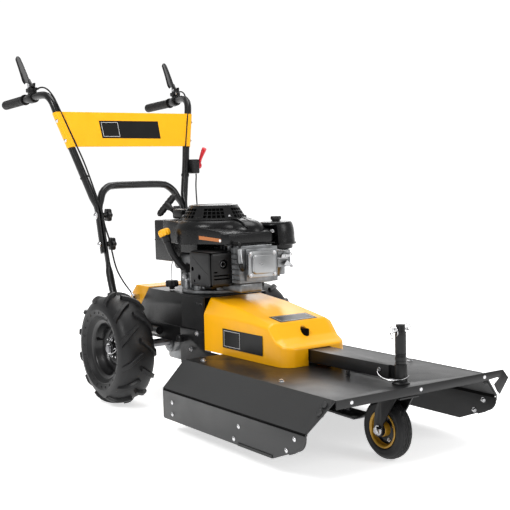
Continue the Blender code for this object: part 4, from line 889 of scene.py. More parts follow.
def chassis():
    """Welded box with its side plates, gearbox and the idler knob with its wire."""
    refine("chassis_housing", "chassis", "powder_black", 0.0020, 3)
    for side in SIDES:
        refine(side_name("deck_bracket", side), "chassis", "powder_black", 0.0008, 2)
    refine("gearbox", "chassis", "cast_aluminium", 0.0018, 2,
           [hex_bolt((AXLE_X + dx, dy, 0.1920), (0, 0, 1), 0.006) for dx in (-0.030, 0.030) for dy in (-0.095, 0.095)]
           + [turned([(0.0128, s * 0.0750), (0.0240, s * 0.0750), (0.0240, s * 0.0775), (0.0128, s * 0.0775)],
                     (AXLE_X, 0, AXLE_Z), (0, 1, 0), 32) for s in (-1, 1)])
    fold, studs = [], []
    for side in SIDES:
        y = side * CHASSIS_HALF_W
        fold.append(box((-0.190, min(y, y + side * 0.0010), 0.2120), (0.050, max(y, y + side * 0.0010), 0.2145)))
        fold.append(box((0.0600, min(y, y + side * 0.0022), 0.2160), (0.1845, max(y, y + side * 0.0022), 0.3100)))
        studs += [hex_bolt((x, side * (CHASSIS_HALF_W + 0.0043), z), (0, side, 0), 0.0052, stud=0.002)
                  for x, z in ((0.1498, 0.2050), (0.1130, 0.1540), (0.2480, 0.1280))]
        studs += [hex_bolt((-0.1000, side * (CHASSIS_HALF_W + TUBE_R * 2 + 0.0005), 0.190), (0, side, 0), 0.0055,
                           stud=0.002)]
        bush = turned([(0.0, 0.0), (0.0115, 0.0), (0.0115, 0.0120), (0.0100, 0.0140), (0.0, 0.0140)],
                      (0.0610, side * (CHASSIS_HALF_W + 0.0043), 0.1800), (0, side, 0), 32, closed=False)
        fold.append(bush)
    put(join(fold), "chassis_folds", "chassis", "powder_black", width=0.0006)
    tabs = [box((x, side * 0.1112 - 0.0012, 0.2930), (x + 0.0130, side * 0.1112 + 0.0012, 0.2955))
            for side in SIDES for x in (0.1450, 0.1660)]
    put(join(tabs), "chassis_tabs", "chassis", "bright_zinc", width=0.0004, segments=1)
    put(join(studs), "chassis_bolts", "chassis", "bright_zinc")
    knob = ribbed((-0.038, -0.086, 0.3180), (-0.038, -0.086, 0.3500),
                  [(0.0, 0.0), (0.0085, 0.0), (0.0085, 0.0080), (0.0190, 0.0085), (0.0205, 0.0110), (0.0205, 0.0240),
                   (0.0180, 0.0275), (0.0, 0.0285)], 8, 0.10, 64)
    put(knob, "idler_knob", "chassis", "grained_plastic", angle=40.0)
    wire = smooth_path([(-0.030, -0.090, 0.3300), (-0.028, -0.092, 0.3480), (-0.020, -0.096, 0.3720),
                        (-0.012, -0.100, 0.3950), (0.004, -0.102, 0.4140)], 0.006)
    put(tube(wire, 0.0012, 3), "brake_wire", "chassis", "bare_steel")


# ------------------------------------------------------------------ engine
def crankcase():
    """Engine casting, its mounting ring and bolts, and the finned cylinder."""
    casting = [refined("crankcase")]
    ring = turned([(0.0850, 0.3272), (0.0990, 0.3272), (0.1010, 0.3262), (0.1010, 0.3162), (0.0990, 0.3154),
                   (0.0850, 0.3154)], (ENGINE_X, 0, 0), (0, 0, 1), 64)
    casting.append(ring)
    for k in range(8):
        turn = math.radians(22.5 + 45 * k)
        spot = (ENGINE_X + 0.0860 * math.cos(turn), 0.0860 * math.sin(turn))
        casting.append(turned([(0.0, 0.3500), (0.0100, 0.3500), (0.0115, 0.3480), (0.0130, 0.3260)],
                              (spot[0], spot[1], 0), (0, 0, 1), 20, closed=False))
    for k in range(5):
        x = ENGINE_X - 0.062 + 0.026 * k
        casting.append(soft_box((x, -0.0830, 0.330), (x + 0.005, -0.0770, 0.405), 0.0012, 1))
    casting.append(rod((0.0330, -0.0840, 0.3600), (0.0330, -0.0700, 0.3600), 0.0140, sides=28))
    casting.append(rod((-0.0050, -0.0840, 0.4020), (-0.0050, -0.0700, 0.4020), 0.0180, sides=28))
    put(join(casting), "engine_block", "chassis", "cast_aluminium", ("crankcase",), 0.0016, 2)
    bolts = [hex_bolt((ENGINE_X + 0.0860 * math.cos(a), 0.0860 * math.sin(a), 0.3500), (0, 0, 1), 0.0055)
             for a in [math.radians(22.5 + 45 * k) for k in range(8)]]
    bolts += [hex_bolt((x, -0.0832, z), (0, -1, 0), 0.0045) for x, z in ((-0.0050, 0.4020), (0.0330, 0.3600))]
    put(join(bolts), "engine_bolts", "chassis", "bright_zinc")
    fins = []
    for k in range(7):
        x = 0.246 + 0.0062 * k
        fins.append(soft_box((x, -0.0500, 0.3560), (x + 0.0024, 0.0840, 0.4580), 0.0008, 1))
    for k in range(6):
        z = 0.3640 + 0.0150 * k
        fins.append(soft_box((0.2440, -0.0530, z), (0.2880, -0.0470, z + 0.0030), 0.0008, 1))
    put(join(fins), "cylinder_fins", "chassis", "cast_aluminium", angle=30.0)
    head = [soft_box((0.2860, -0.0290, 0.3730), (0.2940, 0.0640, 0.4470), 0.0030, 2),
            soft_box((0.1850, -0.0460, 0.3290), (0.2860, 0.0300, 0.3560), 0.0060, 3)]
    put(join(head), "cylinder_head", "chassis", "cast_aluminium", angle=40.0)


def valve_cover():
    """Rocker cover with its raised middle, and the spark lead beside it."""
    outline = rounded((-0.030, 0.372), (0.066, 0.448), 0.014, 6)
    rim = to_mesh(bevel(plate(outline, 0.010, "yz", 0.2980), 0.0020, 3))
    inner = to_mesh(bevel(plate(rounded((-0.019, 0.382), (0.056, 0.438), 0.012, 6), 0.0140, "yz", 0.3035), 0.0040, 4))
    put(join([rim, inner]), "rocker_cover", "chassis", "smooth_aluminium", ("valve_cover",), angle=30.0)
    bolts = [hex_bolt((0.3030, y, z), (1, 0, 0), 0.0042) for y in (-0.0235, 0.0600) for z in (0.3790, 0.4410)]
    put(join(bolts), "rocker_bolts", "chassis", "bright_zinc")
    boot = [tube(smooth_path([(0.2860, -0.0480, 0.4540), (0.2900, -0.0500, 0.4360), (0.2935, -0.0500, 0.4150)], 0.004),
                 0.0080, 4)]
    put(join(boot), "spark_boot_shield", "chassis", "smooth_aluminium")
    lead = [tube(smooth_path([(0.2835, -0.0460, 0.4600), (0.2760, -0.0440, 0.4720), (0.2560, -0.0500, 0.4700)], 0.004),
                 0.0040, 3),
            tube(smooth_path([(0.2935, -0.0500, 0.4140), (0.2930, -0.0480, 0.4040), (0.2880, -0.0400, 0.3960)], 0.004),
                 0.0062, 3)]
    put(join(lead), "spark_lead", "chassis", "cable_rubber")


def shroud():
    """Blower housing: a drum that runs forward into a sloping nose, with its hump and ribs."""
    bowl = [(0.0, 0.5336), (0.1040, 0.5336), (0.1150, 0.5316), (0.1225, 0.5250), (0.1268, 0.5150), (0.1280, 0.5030),
            (0.1280, 0.4660), (0.1270, 0.4642), (0.0, 0.4642)]
    drum = turned([(r * 0.945, z) for r, z in bowl], (ENGINE_X, 0, 0), (0, 0, 1), 96, closed=False)
    plan = [(-0.0400, -0.1120, 0.5330), (0.0250, -0.1190, 0.5325), (0.1000, -0.1080, 0.5210), (0.2380, -0.0800, 0.5035),
            (0.2560, -0.0660, 0.4985), (0.2560, 0.0850, 0.4985), (0.2400, 0.1020, 0.5020), (0.0900, 0.1120, 0.5220),
            (-0.0400, 0.1100, 0.5330)]
    mesh = bmesh.new()
    low = [mesh.verts.new((x, y, 0.4645)) for x, y, z in plan]
    high = [mesh.verts.new((x, y, z)) for x, y, z in plan]
    mesh.faces.new(low[::-1])
    crown = mesh.verts.new((0.0900, 0.0, 0.5300))
    for i in range(len(plan)):
        j = (i + 1) % len(plan)
        mesh.faces.new((low[i], low[j], high[j], high[i]))
        mesh.faces.new((high[i], high[j], crown))
    brow = to_mesh(bevel(from_bmesh(mesh), 0.0050, 4))
    hump = turned([(1.0, -0.5), (1.0, 0.0), (0.97, 0.26), (0.87, 0.52), (0.70, 0.74), (0.46, 0.90), (0.2, 0.98),
                   (0.0, 1.0)], (0, 0, 0), (0, 0, 1), 64, closed=False)
    move(hump, Matrix.Translation((0.1720, 0.0380, 0.4980)) @ Matrix.Rotation(math.radians(14), 4, "Z")
         @ Matrix.Diagonal((0.0780, 0.0560, 0.0400, 1.0)))
    tray = plate([(0.02, -0.085), (0.115, -0.085), (0.115, 0.085), (0.02, 0.085)], 0.030, "xy", 0.4510)
    ribs = []
    for y, lift in ((0.0620, 0.0), (0.0360, 0.0035), (0.0100, 0.0020)):
        line = [(0.1350, y, 0.5330 + lift), (0.1750, y, 0.5345 + lift), (0.2120, y, 0.5270 + lift),
                (0.2380, y, 0.5120 + lift * 0.5)]
        ribs.append(tube(smooth_path(line, 0.006), 0.0026, 3))
    ribs.append(turned([(0.0, 0.5440), (0.0075, 0.5440), (0.0085, 0.5425), (0.0095, 0.5240)],
                       (0.1500, -0.0150, 0), (0, 0, 1), 24, closed=False))
    put(combine(drum, [brow, hump, tray]), "shroud", "chassis", "gloss_plastic", ("blower_housing",), angle=26.0)
    put(join(ribs), "shroud_ribs", "chassis", "gloss_plastic")
    strip = plate([(0.150, 0.4910), (0.150, 0.4800), (0.242, 0.4745), (0.242, 0.4845)], 0.0014, "xz", 0.0)
    strip = to_mesh(bevel(strip, 0.0004, 1))
    move(strip, Matrix.Translation((0.150, -0.0990, 0.0)) @ Matrix.Rotation(math.radians(11.5), 4, "Z")
         @ Matrix.Translation((-0.150, 0.0, 0.0)))
    put(strip, "copper_trim", "chassis", "copper_strip", angle=30.0)
    dot = turned([(0.0, 0.0), (0.0042, 0.0), (0.0042, 0.0012), (0.0030, 0.0018), (0.0, 0.0018)],
                 (0.2370, -0.0816, 0.4790), (0.2, -0.98, 0), 20, closed=False)
    put(dot, "trim_dot", "chassis", "decal_white")
    put(hex_bolt((0.2562, 0.0880, 0.4985), (0.6, 0, 0.8), 0.0045), "shroud_bolt", "chassis", "bright_zinc")
    lip = plate([(0.2520, -0.0780), (0.2590, -0.0700), (0.2590, 0.0940), (0.2520, 0.1020)], 0.0030, "xy", 0.4655)
    lip = to_mesh(bevel(lip, 0.0008, 1))
    put(lip, "shroud_lip", "chassis", "gloss_plastic", angle=30.0)


def starter():
    """Recoil starter cage with its air slots, the pull grip and the rope."""
    hub = (ENGINE_X + 0.002, 0, 0)
    outer = [(0.0, 0.5765), (0.0510, 0.5765), (0.0530, 0.5750), (0.0560, 0.5750), (0.0580, 0.5778), (0.0690, 0.5780),
             (0.0725, 0.5768), (0.0755, 0.5725), (0.0970, 0.5385), (0.0990, 0.5360), (0.0990, 0.5340)]
    inner = [(0.0965, 0.5340), (0.0945, 0.5370), (0.0725, 0.5715), (0.0690, 0.5745), (0.0, 0.5745)]
    cap = turned(outer + inner, hub, (0, 0, 1), 96, closed=False)
    cutters = []
    for group in range(6):
        middle = math.radians(-32.0 + 60.0 * group)
        if abs((math.degrees(middle) - 205.0 + 180.0) % 360.0 - 180.0) < 26.0:
            continue
        for k in range(5):
            turn = middle + math.radians(8.4 * (k - 2))
            for low, high in ((0.5405, 0.5485), (0.5505, 0.5585), (0.5605, 0.5680)):
                r_low = 0.0975 - (low - 0.5385) * 0.63
                wedge = box((r_low - 0.016, -0.0052, low), (r_low + 0.010, 0.0052, high))
                wedge.data.transform(Matrix.Translation(hub) @ Matrix.Rotation(turn, 4, "Z"))
                cutters.append(wedge)
    cage = cut(cap, [join(cutters)])
    snout = soft_box((-0.0600, -0.066, 0.5343), (-0.0050, -0.030, 0.5640), 0.0060, 3)
    guide = turned([(0.0035, 0.0), (0.0070, 0.0), (0.0100, 0.0030), (0.0100, 0.0060), (0.0, 0.0060)],
                   (-0.0600, -0.0480, 0.5500), (1, 0, 0), 24, closed=False)
    ears = []
    for group in range(6):
        turn = math.radians(-2.0 + 60.0 * group)
        ear = turned([(0.0, 0.5440), (0.0075, 0.5440), (0.0090, 0.5420), (0.0095, 0.5338)],
                     (hub[0] + 0.0900 * math.cos(turn), 0.0900 * math.sin(turn), 0), (0, 0, 1), 20, closed=False)
        ears.append(ear)
    put(join([cage, snout, guide] + ears), "recoil_cage", "chassis", "gloss_plastic", ("starter_cage",), angle=28.0)
    # A black core inside the cage: painted shade, so that the air slots read dark.
    shade_core = turned([(0.0, 0.5730), (0.0660, 0.5730), (0.0690, 0.5700), (0.0900, 0.5345), (0.0, 0.5345)], hub,
                  (0, 0, 1), 48, closed=False)
    put(shade_core, "recoil_painted_shade", "chassis", "painted_shade_black", angle=30.0)
    screws = [hex_bolt((hub[0] + 0.0900 * math.cos(t), 0.0900 * math.sin(t), 0.5440), (0, 0, 1), 0.0040)
              for t in [math.radians(-2.0 + 120.0 * g) for g in range(3)]]
    put(join(screws), "recoil_screws", "chassis", "bright_zinc")

    along = Vector((0.30, 0.60, 0.80)).normalized()
    middle = Vector(STARTER_GRIP)
    across = Vector((1.0, 0.0, -0.38)).normalized()
    flat = along.cross(across).normalized()
    mesh = bmesh.new()
    rings = []
    stations = 25
    for i in range(stations):
        t = -1.0 + 2.0 * i / (stations - 1)
        swell = (1.0 - abs(t) ** 6) ** 0.5 * (1.0 - 0.06 * math.cos(t * math.pi * 7.0))
        centre = middle + along * (t * 0.0440)
        rings.append([mesh.verts.new(centre + across * (0.0130 * swell * math.cos(a))
                                     + flat * (0.0100 * swell * math.sin(a)))
                      for a in [2 * math.pi * k / 20 for k in range(20)]])
    for a, b in zip(rings, rings[1:]):
        for k in range(20):
            mesh.faces.new((a[k], a[(k + 1) % 20], b[(k + 1) % 20], b[k]))
    mesh.faces.new(rings[0])
    mesh.faces.new(rings[-1])
    neck_end = middle + Vector((0.0420, 0.0, -0.0160))
    toward = (neck_end - middle).normalized()
    neck = turned([(0.0, 0.0), (0.0125, 0.0), (0.0110, 0.0160), (0.0080, 0.0280), (0.0075, 0.0440), (0.0, 0.0449)],
                  middle, toward, 24, closed=False)
    put(join([from_bmesh(mesh), neck]), "pull_grip", "starter_grip", "grip_rubber", ("starter_grip",), angle=50.0)
    far = Vector((-0.0612, -0.0480, 0.5502))
    rope = tube([neck_end.lerp(far, i / 40) for i in range(41)], 0.0020, 3)
    put(rope, "pull_rope", "chassis", "rope_fibre", ("starter_rope",), flow=("starter_grip", far, neck_end))


def muffler():
    """Pressed heat guard with its outlet, louvres and side holes, round the exhaust can."""
    outside = to_mesh(bevel(box((0.1362, -0.1240, 0.3450), (0.2480, -0.0455, 0.4490)), 0.0120, 5))
    lap = to_mesh(bevel(box((0.1280, -0.1240, 0.3450), (0.2000, -0.0795, 0.4490)), 0.0120, 5))
    guard = combine(outside, [lap])
    guard = cut(guard, [box((0.1385, -0.1215, 0.3475), (0.2455, -0.0300, 0.4465))])
    tools = [rod((0.2400, -0.0790, 0.4120), (0.2600, -0.0790, 0.4120), 0.0135, sides=36)]
    for y0, y1, z in ((-0.1120, -0.1000, 0.3880), (-0.1120, -0.0600, 0.3780), (-0.1120, -0.0600, 0.3680)):
        tools.append(box((0.2400, y0, z), (0.2600, y1, z + 0.0045)))
    for x, z, r in ((0.1500, 0.3960, 0.0065), (0.1870, 0.3740, 0.0080), (0.1600, 0.3620, 0.0040)):
        tools.append(rod((x, -0.1300, z), (x, -0.1180, z), r, sides=24))
    guard = cut(guard, tools)
    crease = tube([Vector((0.1480, -0.1239, 0.4330)), Vector((0.1980, -0.1239, 0.4010)),
                   Vector((0.2360, -0.1239, 0.3830))], 0.0009, 2)
    lip = turned([(0.0135, -0.0020), (0.0165, 0.0), (0.0160, 0.0008), (0.0135, 0.0010)], (0.2478, -0.0790, 0.4120),
                 (1, 0, 0), 40)
    put(join([guard, crease, lip]), "exhaust_guard", "chassis", "powder_black", ("muffler_guard",), angle=30.0)
    # The exhaust can is a real dark part, finished in the painted-shade black so that the guard's holes read as deep
    # shade.
    can = to_mesh(bevel(box((0.1430, -0.1160, 0.3520), (0.2360, -0.0500, 0.4400)), 0.0140, 3))
    put(can, "exhaust_can", "chassis", "painted_shade_black", angle=30.0)
    pipe = turned([(0.0065, 0.0), (0.0082, 0.0), (0.0082, 0.0100), (0.0065, 0.0100)], (0.2350, -0.0790, 0.4120),
                  (1, 0, 0), 32)
    put(pipe, "exhaust_outlet", "chassis", "bare_steel", angle=40.0)


def fuel_and_oil():
    """Petrol tank round the back of the blower, and the oil filler with its cap."""
    hug = arc((ENGINE_X, 0.0), 0.1320, 226.0, 134.0, 25)
    outline = [(-0.1300, -0.084), (-0.1160, -0.098)] + hug + [(-0.1160, 0.098), (-0.1300, 0.084)]
    tank = to_mesh(bevel(plate(outline, 0.125, "xy", 0.4675), 0.0090, 4))
    wide = [(-0.1314, -0.0846), (-0.1166, -0.0994), (-0.0250, -0.0994), (-0.0250, -0.0900), (-0.1000, -0.0700),
            (-0.1000, 0.0700), (-0.0250, 0.0900), (-0.0250, 0.0994), (-0.1166, 0.0994), (-0.1314, 0.0846)]
    seam = to_mesh(bevel(plate(wide, 0.0035, "xy", 0.4690), 0.0008, 1))
    neck = turned([(0.0200, 0.5260), (0.0240, 0.5260), (0.0240, 0.5302), (0.0200, 0.5302)], (-0.0850, 0.050, 0),
                  (0, 0, 1), 40)
    put(join([tank, seam, neck]), "petrol_tank", "chassis", "gloss_plastic", ("fuel_tank",), angle=28.0)
    cap = ribbed((-0.0850, 0.050, 0.5304), (-0.0850, 0.050, 0.5470),
                 [(0.0, 0.0), (0.0240, 0.0), (0.0250, 0.0012), (0.0250, 0.0130), (0.0235, 0.0155), (0.0150, 0.0155),
                  (0.0140, 0.0166), (0.0, 0.0166)], 20, 0.045, 160)
    put(cap, "petrol_cap", "fuel_cap", "grained_plastic", ("fuel_cap",), angle=40.0)

    path = smooth_path([(0.0550, -0.0955, 0.3900), (0.0500, -0.1160, 0.4140), (0.0430, -0.1330, 0.4440), OIL_MOUTH],
                       0.008)
    mouth = Vector(OIL_MOUTH)
    along = (mouth - Vector((0.0430, -0.1330, 0.4440))).normalized()
    pipe = tube(path, 0.0105, 5)
    lug = soft_box((0.044, -0.098, 0.376), (0.066, -0.0785, 0.402), 0.003, 2)
    collar = turned([(0.0105, -0.020), (0.0128, -0.0180), (0.0135, -0.0040), (0.0150, -0.0030), (0.0150, -0.0002),
                     (0.0100, -0.0002)], mouth, along, 32, closed=False)
    put(join([pipe, lug, collar]), "oil_pipe", "chassis", "grained_plastic", ("oil_filler_tube",), angle=40.0)
    cap = ribbed(mouth + along * GAP, mouth + along * 0.022,
                 [(0.0, 0.0), (0.0150, 0.0), (0.0172, 0.0020), (0.0185, 0.0080), (0.0180, 0.0160), (0.0160, 0.0195),
                  (0.0120, 0.0212), (0.0, 0.0217)], 10, 0.10, 120)
    put(cap, "dipstick_cap", "oil_cap", "yellow_moulded", ("oil_cap",), angle=45.0)
    silver = soft_box((-0.0280, -0.1060, 0.4960), (-0.0080, -0.0990, 0.5330), 0.0015, 2)
    put(silver, "tank_bracket", "chassis", "smooth_aluminium", angle=30.0)


def air_filter():
    """Round filter can notched for the shroud, its nut and its foot."""
    profile = [(0.0, 0.5240), (0.0400, 0.5240), (0.0450, 0.5230), (0.0480, 0.5200), (0.0500, 0.5150), (0.0530, 0.5040),
               (0.0548, 0.4900), (0.0552, 0.4760), (0.0562, 0.4680), (0.0568, 0.4622), (0.0600, 0.4612),
               (0.0600, 0.4575), (0.0585, 0.4562), (0.0, 0.4562)]
    can = turned(profile, (FILTER_X, FILTER_Y, 0), (0, 0, 1), 80, closed=False)
    notch = box((0.100, 0.000, 0.455), (0.2575, 0.1135, 0.515))
    put(cut(can, [notch]), "filter_can", "chassis", "gloss_plastic", ("air_filter",), angle=28.0)
    knob = ribbed((FILTER_X, FILTER_Y, 0.5243), (FILTER_X, FILTER_Y, 0.5400),
                  [(0.0, 0.0), (0.0125, 0.0), (0.0125, 0.0040), (0.0160, 0.0050), (0.0160, 0.0130), (0.0145, 0.0152),
                   (0.0, 0.0157)], 6, 0.16, 72)
    put(knob, "filter_nut", "filter_knob", "grained_plastic", ("filter_knob",), angle=45.0)
    foot = turned([(0.0, 0.4562), (0.0440, 0.4562), (0.0430, 0.4440), (0.0330, 0.4400), (0.0, 0.4400)],
                  (FILTER_X + 0.004, FILTER_Y + 0.004, 0), (0, 0, 1), 48, closed=False)
    put(foot, "filter_base", "chassis", "gloss_plastic", angle=35.0)


def carburettor():
    """Carburettor casting with the governor links, spring and fuel hose."""
    casting = [refined("carburettor"),
               rod((0.2450, 0.1340, 0.4230), (0.2530, 0.1340, 0.4230), 0.0090, sides=24),
               rod((0.2450, 0.1480, 0.4030), (0.2510, 0.1480, 0.4030), 0.0060, sides=20),
               rod((0.2130, 0.138, 0.3590), (0.2130, 0.138, 0.3660), 0.0055, sides=6)]
    put(join(casting), "carburettor_fine", "chassis", "cast_aluminium", ("carburettor",), 0.0012, 2)
    rods = [rod((0.2560, 0.0400, 0.4580), (0.2560, 0.1450, 0.4360), 0.0012, sides=10),
            rod((0.2580, 0.0800, 0.4200), (0.2580, 0.1420, 0.4160), 0.0012, sides=10),
            tube(smooth_path([(0.2560, 0.1450, 0.4360), (0.2560, 0.1560, 0.4300), (0.2540, 0.1600, 0.4220)], 0.004),
                 0.0012, 2),
            rod((0.2420, 0.1340, 0.4230), (0.2600, 0.1340, 0.4230), 0.0024, sides=12),
            rod((0.2420, 0.1560, 0.3920), (0.2600, 0.1560, 0.3920), 0.0028, sides=12),
            plate([(0.118, 0.4160), (0.150, 0.4200), (0.153, 0.4260), (0.120, 0.4280)], 0.0016, "yz", 0.2575),
            plate([(0.128, 0.3960), (0.160, 0.3860), (0.164, 0.3920), (0.140, 0.4100)], 0.0016, "yz", 0.2560)]
    put(join(rods), "governor_linkage", "chassis", "bright_zinc")
    coils = []
    for k in range(60):
        t = k / 59
        a = t * 2 * math.pi * 9
        coils.append((0.2560 + 0.0028 * math.cos(a), 0.0880 + 0.040 * t, 0.4440 - 0.0050 * t + 0.0028 * math.sin(a)))
    put(tube([Vector(p) for p in coils], 0.0006, 1), "governor_spring", "chassis", "bright_zinc")
    hose = smooth_path([(0.1900, 0.1500, 0.3990), (0.1750, 0.1560, 0.3850), (0.1400, 0.1480, 0.3740),
                        (0.0500, 0.1250, 0.3900), (-0.0300, 0.1080, 0.4080), (-0.0550, 0.0980, 0.4200)], 0.01)
    put(tube(hose, 0.0042, 3), "fuel_hose", "chassis", "cable_rubber")


# ------------------------------------------------------------------ belt drive and blade
def drive_line():
    """Pulleys, vee belt, spindle bearing and the blade."""
    refine("engine_pulley", "crankshaft", "bare_steel", 0.0005, 1)
    refine("blade_spindle", "blade", "bare_steel", 0.0005, 1)
    refine("spindle_bearing", "chassis", "cast_aluminium", 0.0008, 2,
           [hex_bolt((BLADE_X + 0.028 * math.cos(a), 0.028 * math.sin(a), 0.1660), (0, 0, 1), 0.0035)
            for a in [math.radians(45 + 90 * k) for k in range(4)]])
    half = 0.030
    outline = arc((BLADE_R - 0.040, 0), 0.040, -60, 60, 9) + arc((-BLADE_R + 0.040, 0), 0.040, 120, 240, 9)
    bar = to_mesh(bevel(plate([(BLADE_X + x, max(-half, min(half, y))) for x, y in outline], 0.006, "xy", BLADE_Z),
                        0.0008, 2))
    put(bar, "knife_carrier", "blade", "powder_black", ("blade_bar",), angle=30.0)
    parts = []
    for hand in (1, -1):
        knife = [(BLADE_X + hand * 0.150, -0.022), (BLADE_X + hand * 0.228, -0.026),
                 (BLADE_X + hand * 0.231, 0.0), (BLADE_X + hand * 0.228, 0.018), (BLADE_X + hand * 0.150, 0.020)]
        parts.append(to_mesh(bevel(plate(knife, 0.004, "xy", BLADE_Z - 0.0052), 0.0010, 1)))
        parts.append(hex_bolt((BLADE_X + hand * 0.172, 0.0, BLADE_Z - 0.0072), (0, 0, -1), 0.0070))
        parts.append(hex_bolt((BLADE_X + hand * 0.172, 0.0, BLADE_Z + 0.0030), (0, 0, 1), 0.0070, stud=0.003))
    parts.append(hex_bolt((BLADE_X, 0.0, 0.0430), (0, 0, -1), 0.0100))
    put(join(parts), "knives", "blade", "bare_steel", angle=30.0)
    clear = 0.0045 + GAP + 0.0012
    small, large = 0.032 - 0.006 + clear, 0.045 - 0.006 + clear
    lean = math.degrees(math.asin((large - small) / (BLADE_X - ENGINE_X)))
    line = (arc((BLADE_X, 0), large, -90.0 - lean, 90.0 + lean, 25)
            + arc((ENGINE_X, 0), small, 90.0 + lean, 270.0 - lean, 25))
    mesh = bmesh.new()
    rings = []
    for i, (x, y) in enumerate(line):
        before, after = Vector(line[i - 1]), Vector(line[(i + 1) % len(line)])
        run = (after - before).normalized()
        out = Vector((run.y, -run.x, 0.0))
        middle = Vector((x, y, BELT_Z))
        rings.append([mesh.verts.new(middle + out * o + Vector((0, 0, u)))
                      for o, u in ((0.0042, -0.0045), (0.0042, 0.0045), (-0.0040, 0.0026), (-0.0040, -0.0026))])
    for i in range(len(rings)):
        a, b = rings[i], rings[(i + 1) % len(rings)]
        for k in range(4):
            mesh.faces.new((a[k], a[(k + 1) % 4], b[(k + 1) % 4], b[k]))
    put(from_bmesh(mesh), "vee_belt", "chassis", "grip_rubber", ("drive_belt",), angle=30.0)


# ------------------------------------------------------------------ handle
def hoop():
    """Lower handle: one tube from the chassis up over the back and down again."""
    y, foot = HOOP_Y, CHASSIS_HALF_W + TUBE_R + GAP
    half = [(-0.060, foot, 0.190), (-0.130, foot, 0.190), (-0.180, 0.1265, 0.193), (-0.228, 0.1430, 0.210),
            (-0.258, 0.1530, 0.235), (-0.285, y, 0.265), (-0.309, y, 0.314), (-0.333, y, 0.388),
            (FOLD[0], y, FOLD[1]), (CLAMP[0], y, CLAMP[1]), (-0.3755, y, 0.562), (-0.388, 0.1475, 0.588),
            (-0.397, 0.1370, 0.613), (-0.403, 0.1150, 0.632), (-0.405, 0.0880, 0.638)]
    spine = [(x, -w, z) for x, w, z in half] + [(-0.405, 0.0, 0.639)] + half[::-1]
    path = smooth_path(spine, 0.015)
    put(press_flat(tube(path, TUBE_R, 6), path, 0.380, 0.567), "hoop", "chassis", "tube_black", ("handle_hoop",),
        angle=50.0)


def bar_path(side, spacing=0.015):
    """Centre line of one upper bar, from the hinge to the end of the grip."""
    half = [(-0.3405, BAR_Y, 0.4180), (FOLD[0], BAR_Y, FOLD[1]), (CLAMP[0], BAR_Y, CLAMP[1]),
            (-0.3755, BAR_Y, 0.5620), (-0.3899, 0.1753, 0.6000), (-0.4206, 0.2024, 0.7000), PANEL_LOW,
            (-0.4538, 0.2291, 0.8000), PANEL_HIGH, (-0.4900, 0.2600, 0.9150), (-0.5150, 0.2670, 0.9390),
            (-0.5600, 0.2745, 0.9445), (-0.6490, 0.2850, 0.9370), GRIP_IN, (-0.7700, 0.28701, 0.93165),
            (-0.8300, 0.28801, 0.92900)]
    return smooth_path([(x, side * y, z) for x, y, z in half], spacing)


def bars():
    """Upper bars with their ribbed hand grips."""
    for side in SIDES:
        path = bar_path(side)
        bar = press_flat(tube(path, TUBE_R, 6), path, 0.400, 0.567)
        put(bar, side_name("bar", side), "handlebar", "tube_black", (side_name("handlebar", side),), angle=50.0)
        nut = [dome_bolt((CLAMP[0], side * (BAR_Y + PRESSED * TUBE_R), CLAMP[1]), (0, side, 0), 0.0105)]
        put(join(nut), side_name("clamp_bolt_head", side), "handlebar", "bright_zinc")
        inner, end = [Vector((x, side * y, z)) for x, y, z in (GRIP_IN, GRIP_END)]
        length = (end - inner).length
        profile = [(0.0130, 0.0), (0.0178, 0.0), (0.0185, 0.0010), (0.0185, 0.0045), (0.0172, 0.0058)]
        step = 0.0062
        count = int((length - 0.022) / step)
        for k in range(count):
            s = 0.0085 + step * k
            profile += [(0.0144, s), (0.0144, s + 0.0012), (0.0160, s + 0.0020), (0.0160, s + 0.0050),
                        (0.0144, s + 0.0058)]
        profile += [(0.0160, length - 0.0100), (0.0160, length - 0.0030), (0.0145, length - 0.0006), (0.0110, length),
                    (0.0, length)]
        put(turned(profile, inner, end - inner, 40, closed=False), side_name("hand_grip", side), "handlebar",
            "grip_rubber", (side_name("grip", side),), angle=35.0)


def lever(side):
    """Pressed paddle: a shallow channel, wide at the root and narrowing to a rounded tip."""
    y = side * LEVER[1]
    root = Vector((LEVER[0], y, LEVER[2]))
    tip = Vector((-0.7010, side * 0.2890, 1.0860))
    along = (tip - root).normalized()
    wide = Vector((0, 1, 0)) - along * along.y
    wide.normalize()
    thick = along.cross(wide).normalized()
    if thick.z < 0.0:
        thick.negate()
    length = (tip - root).length
    rows = []
    stations = 16
    for i in range(stations):
        t = i / (stations - 1)
        reach = 0.012 + (length - 0.012) * t
        half = 0.0142 - 0.0050 * t
        half *= min(1.0, 0.62 + 4.0 * t) * math.sqrt(max(0.05, 1.0 - max(0.0, (t - 0.94) / 0.06) ** 2 * 0.6))
        bow = 0.002 * math.sin(math.pi * t)
        middle = root + along * reach + thick * bow - wide * 0.0105 * (1.0 - 0.80 * t)
        rows.append([middle + wide * (half * a) + thick * b
                     for a, b in ((-1.0, -0.0055), (-0.98, -0.0010), (-0.80, 0.0018), (-0.4, 0.0028), (0.0, 0.0032),
                                  (0.4, 0.0028), (0.80, 0.0018), (0.98, -0.0010), (1.0, -0.0055))])
    blade = skin(rows, 0.0018)
    boss = rod((LEVER[0], y - 0.0050, LEVER[2]), (LEVER[0], y + 0.0050, LEVER[2]), 0.0085, sides=32)
    arm = soft_box((-0.0045, -0.0046, 0.0), (0.0045, 0.0046, 0.030), 0.001, 1)
    arm.data.transform(aim(root, tip))
    return put(join([blade, boss, arm]), side_name("squeeze_lever", side), side_name("lever", side), "gloss_plastic",
               (side_name("lever", side),), angle=40.0)


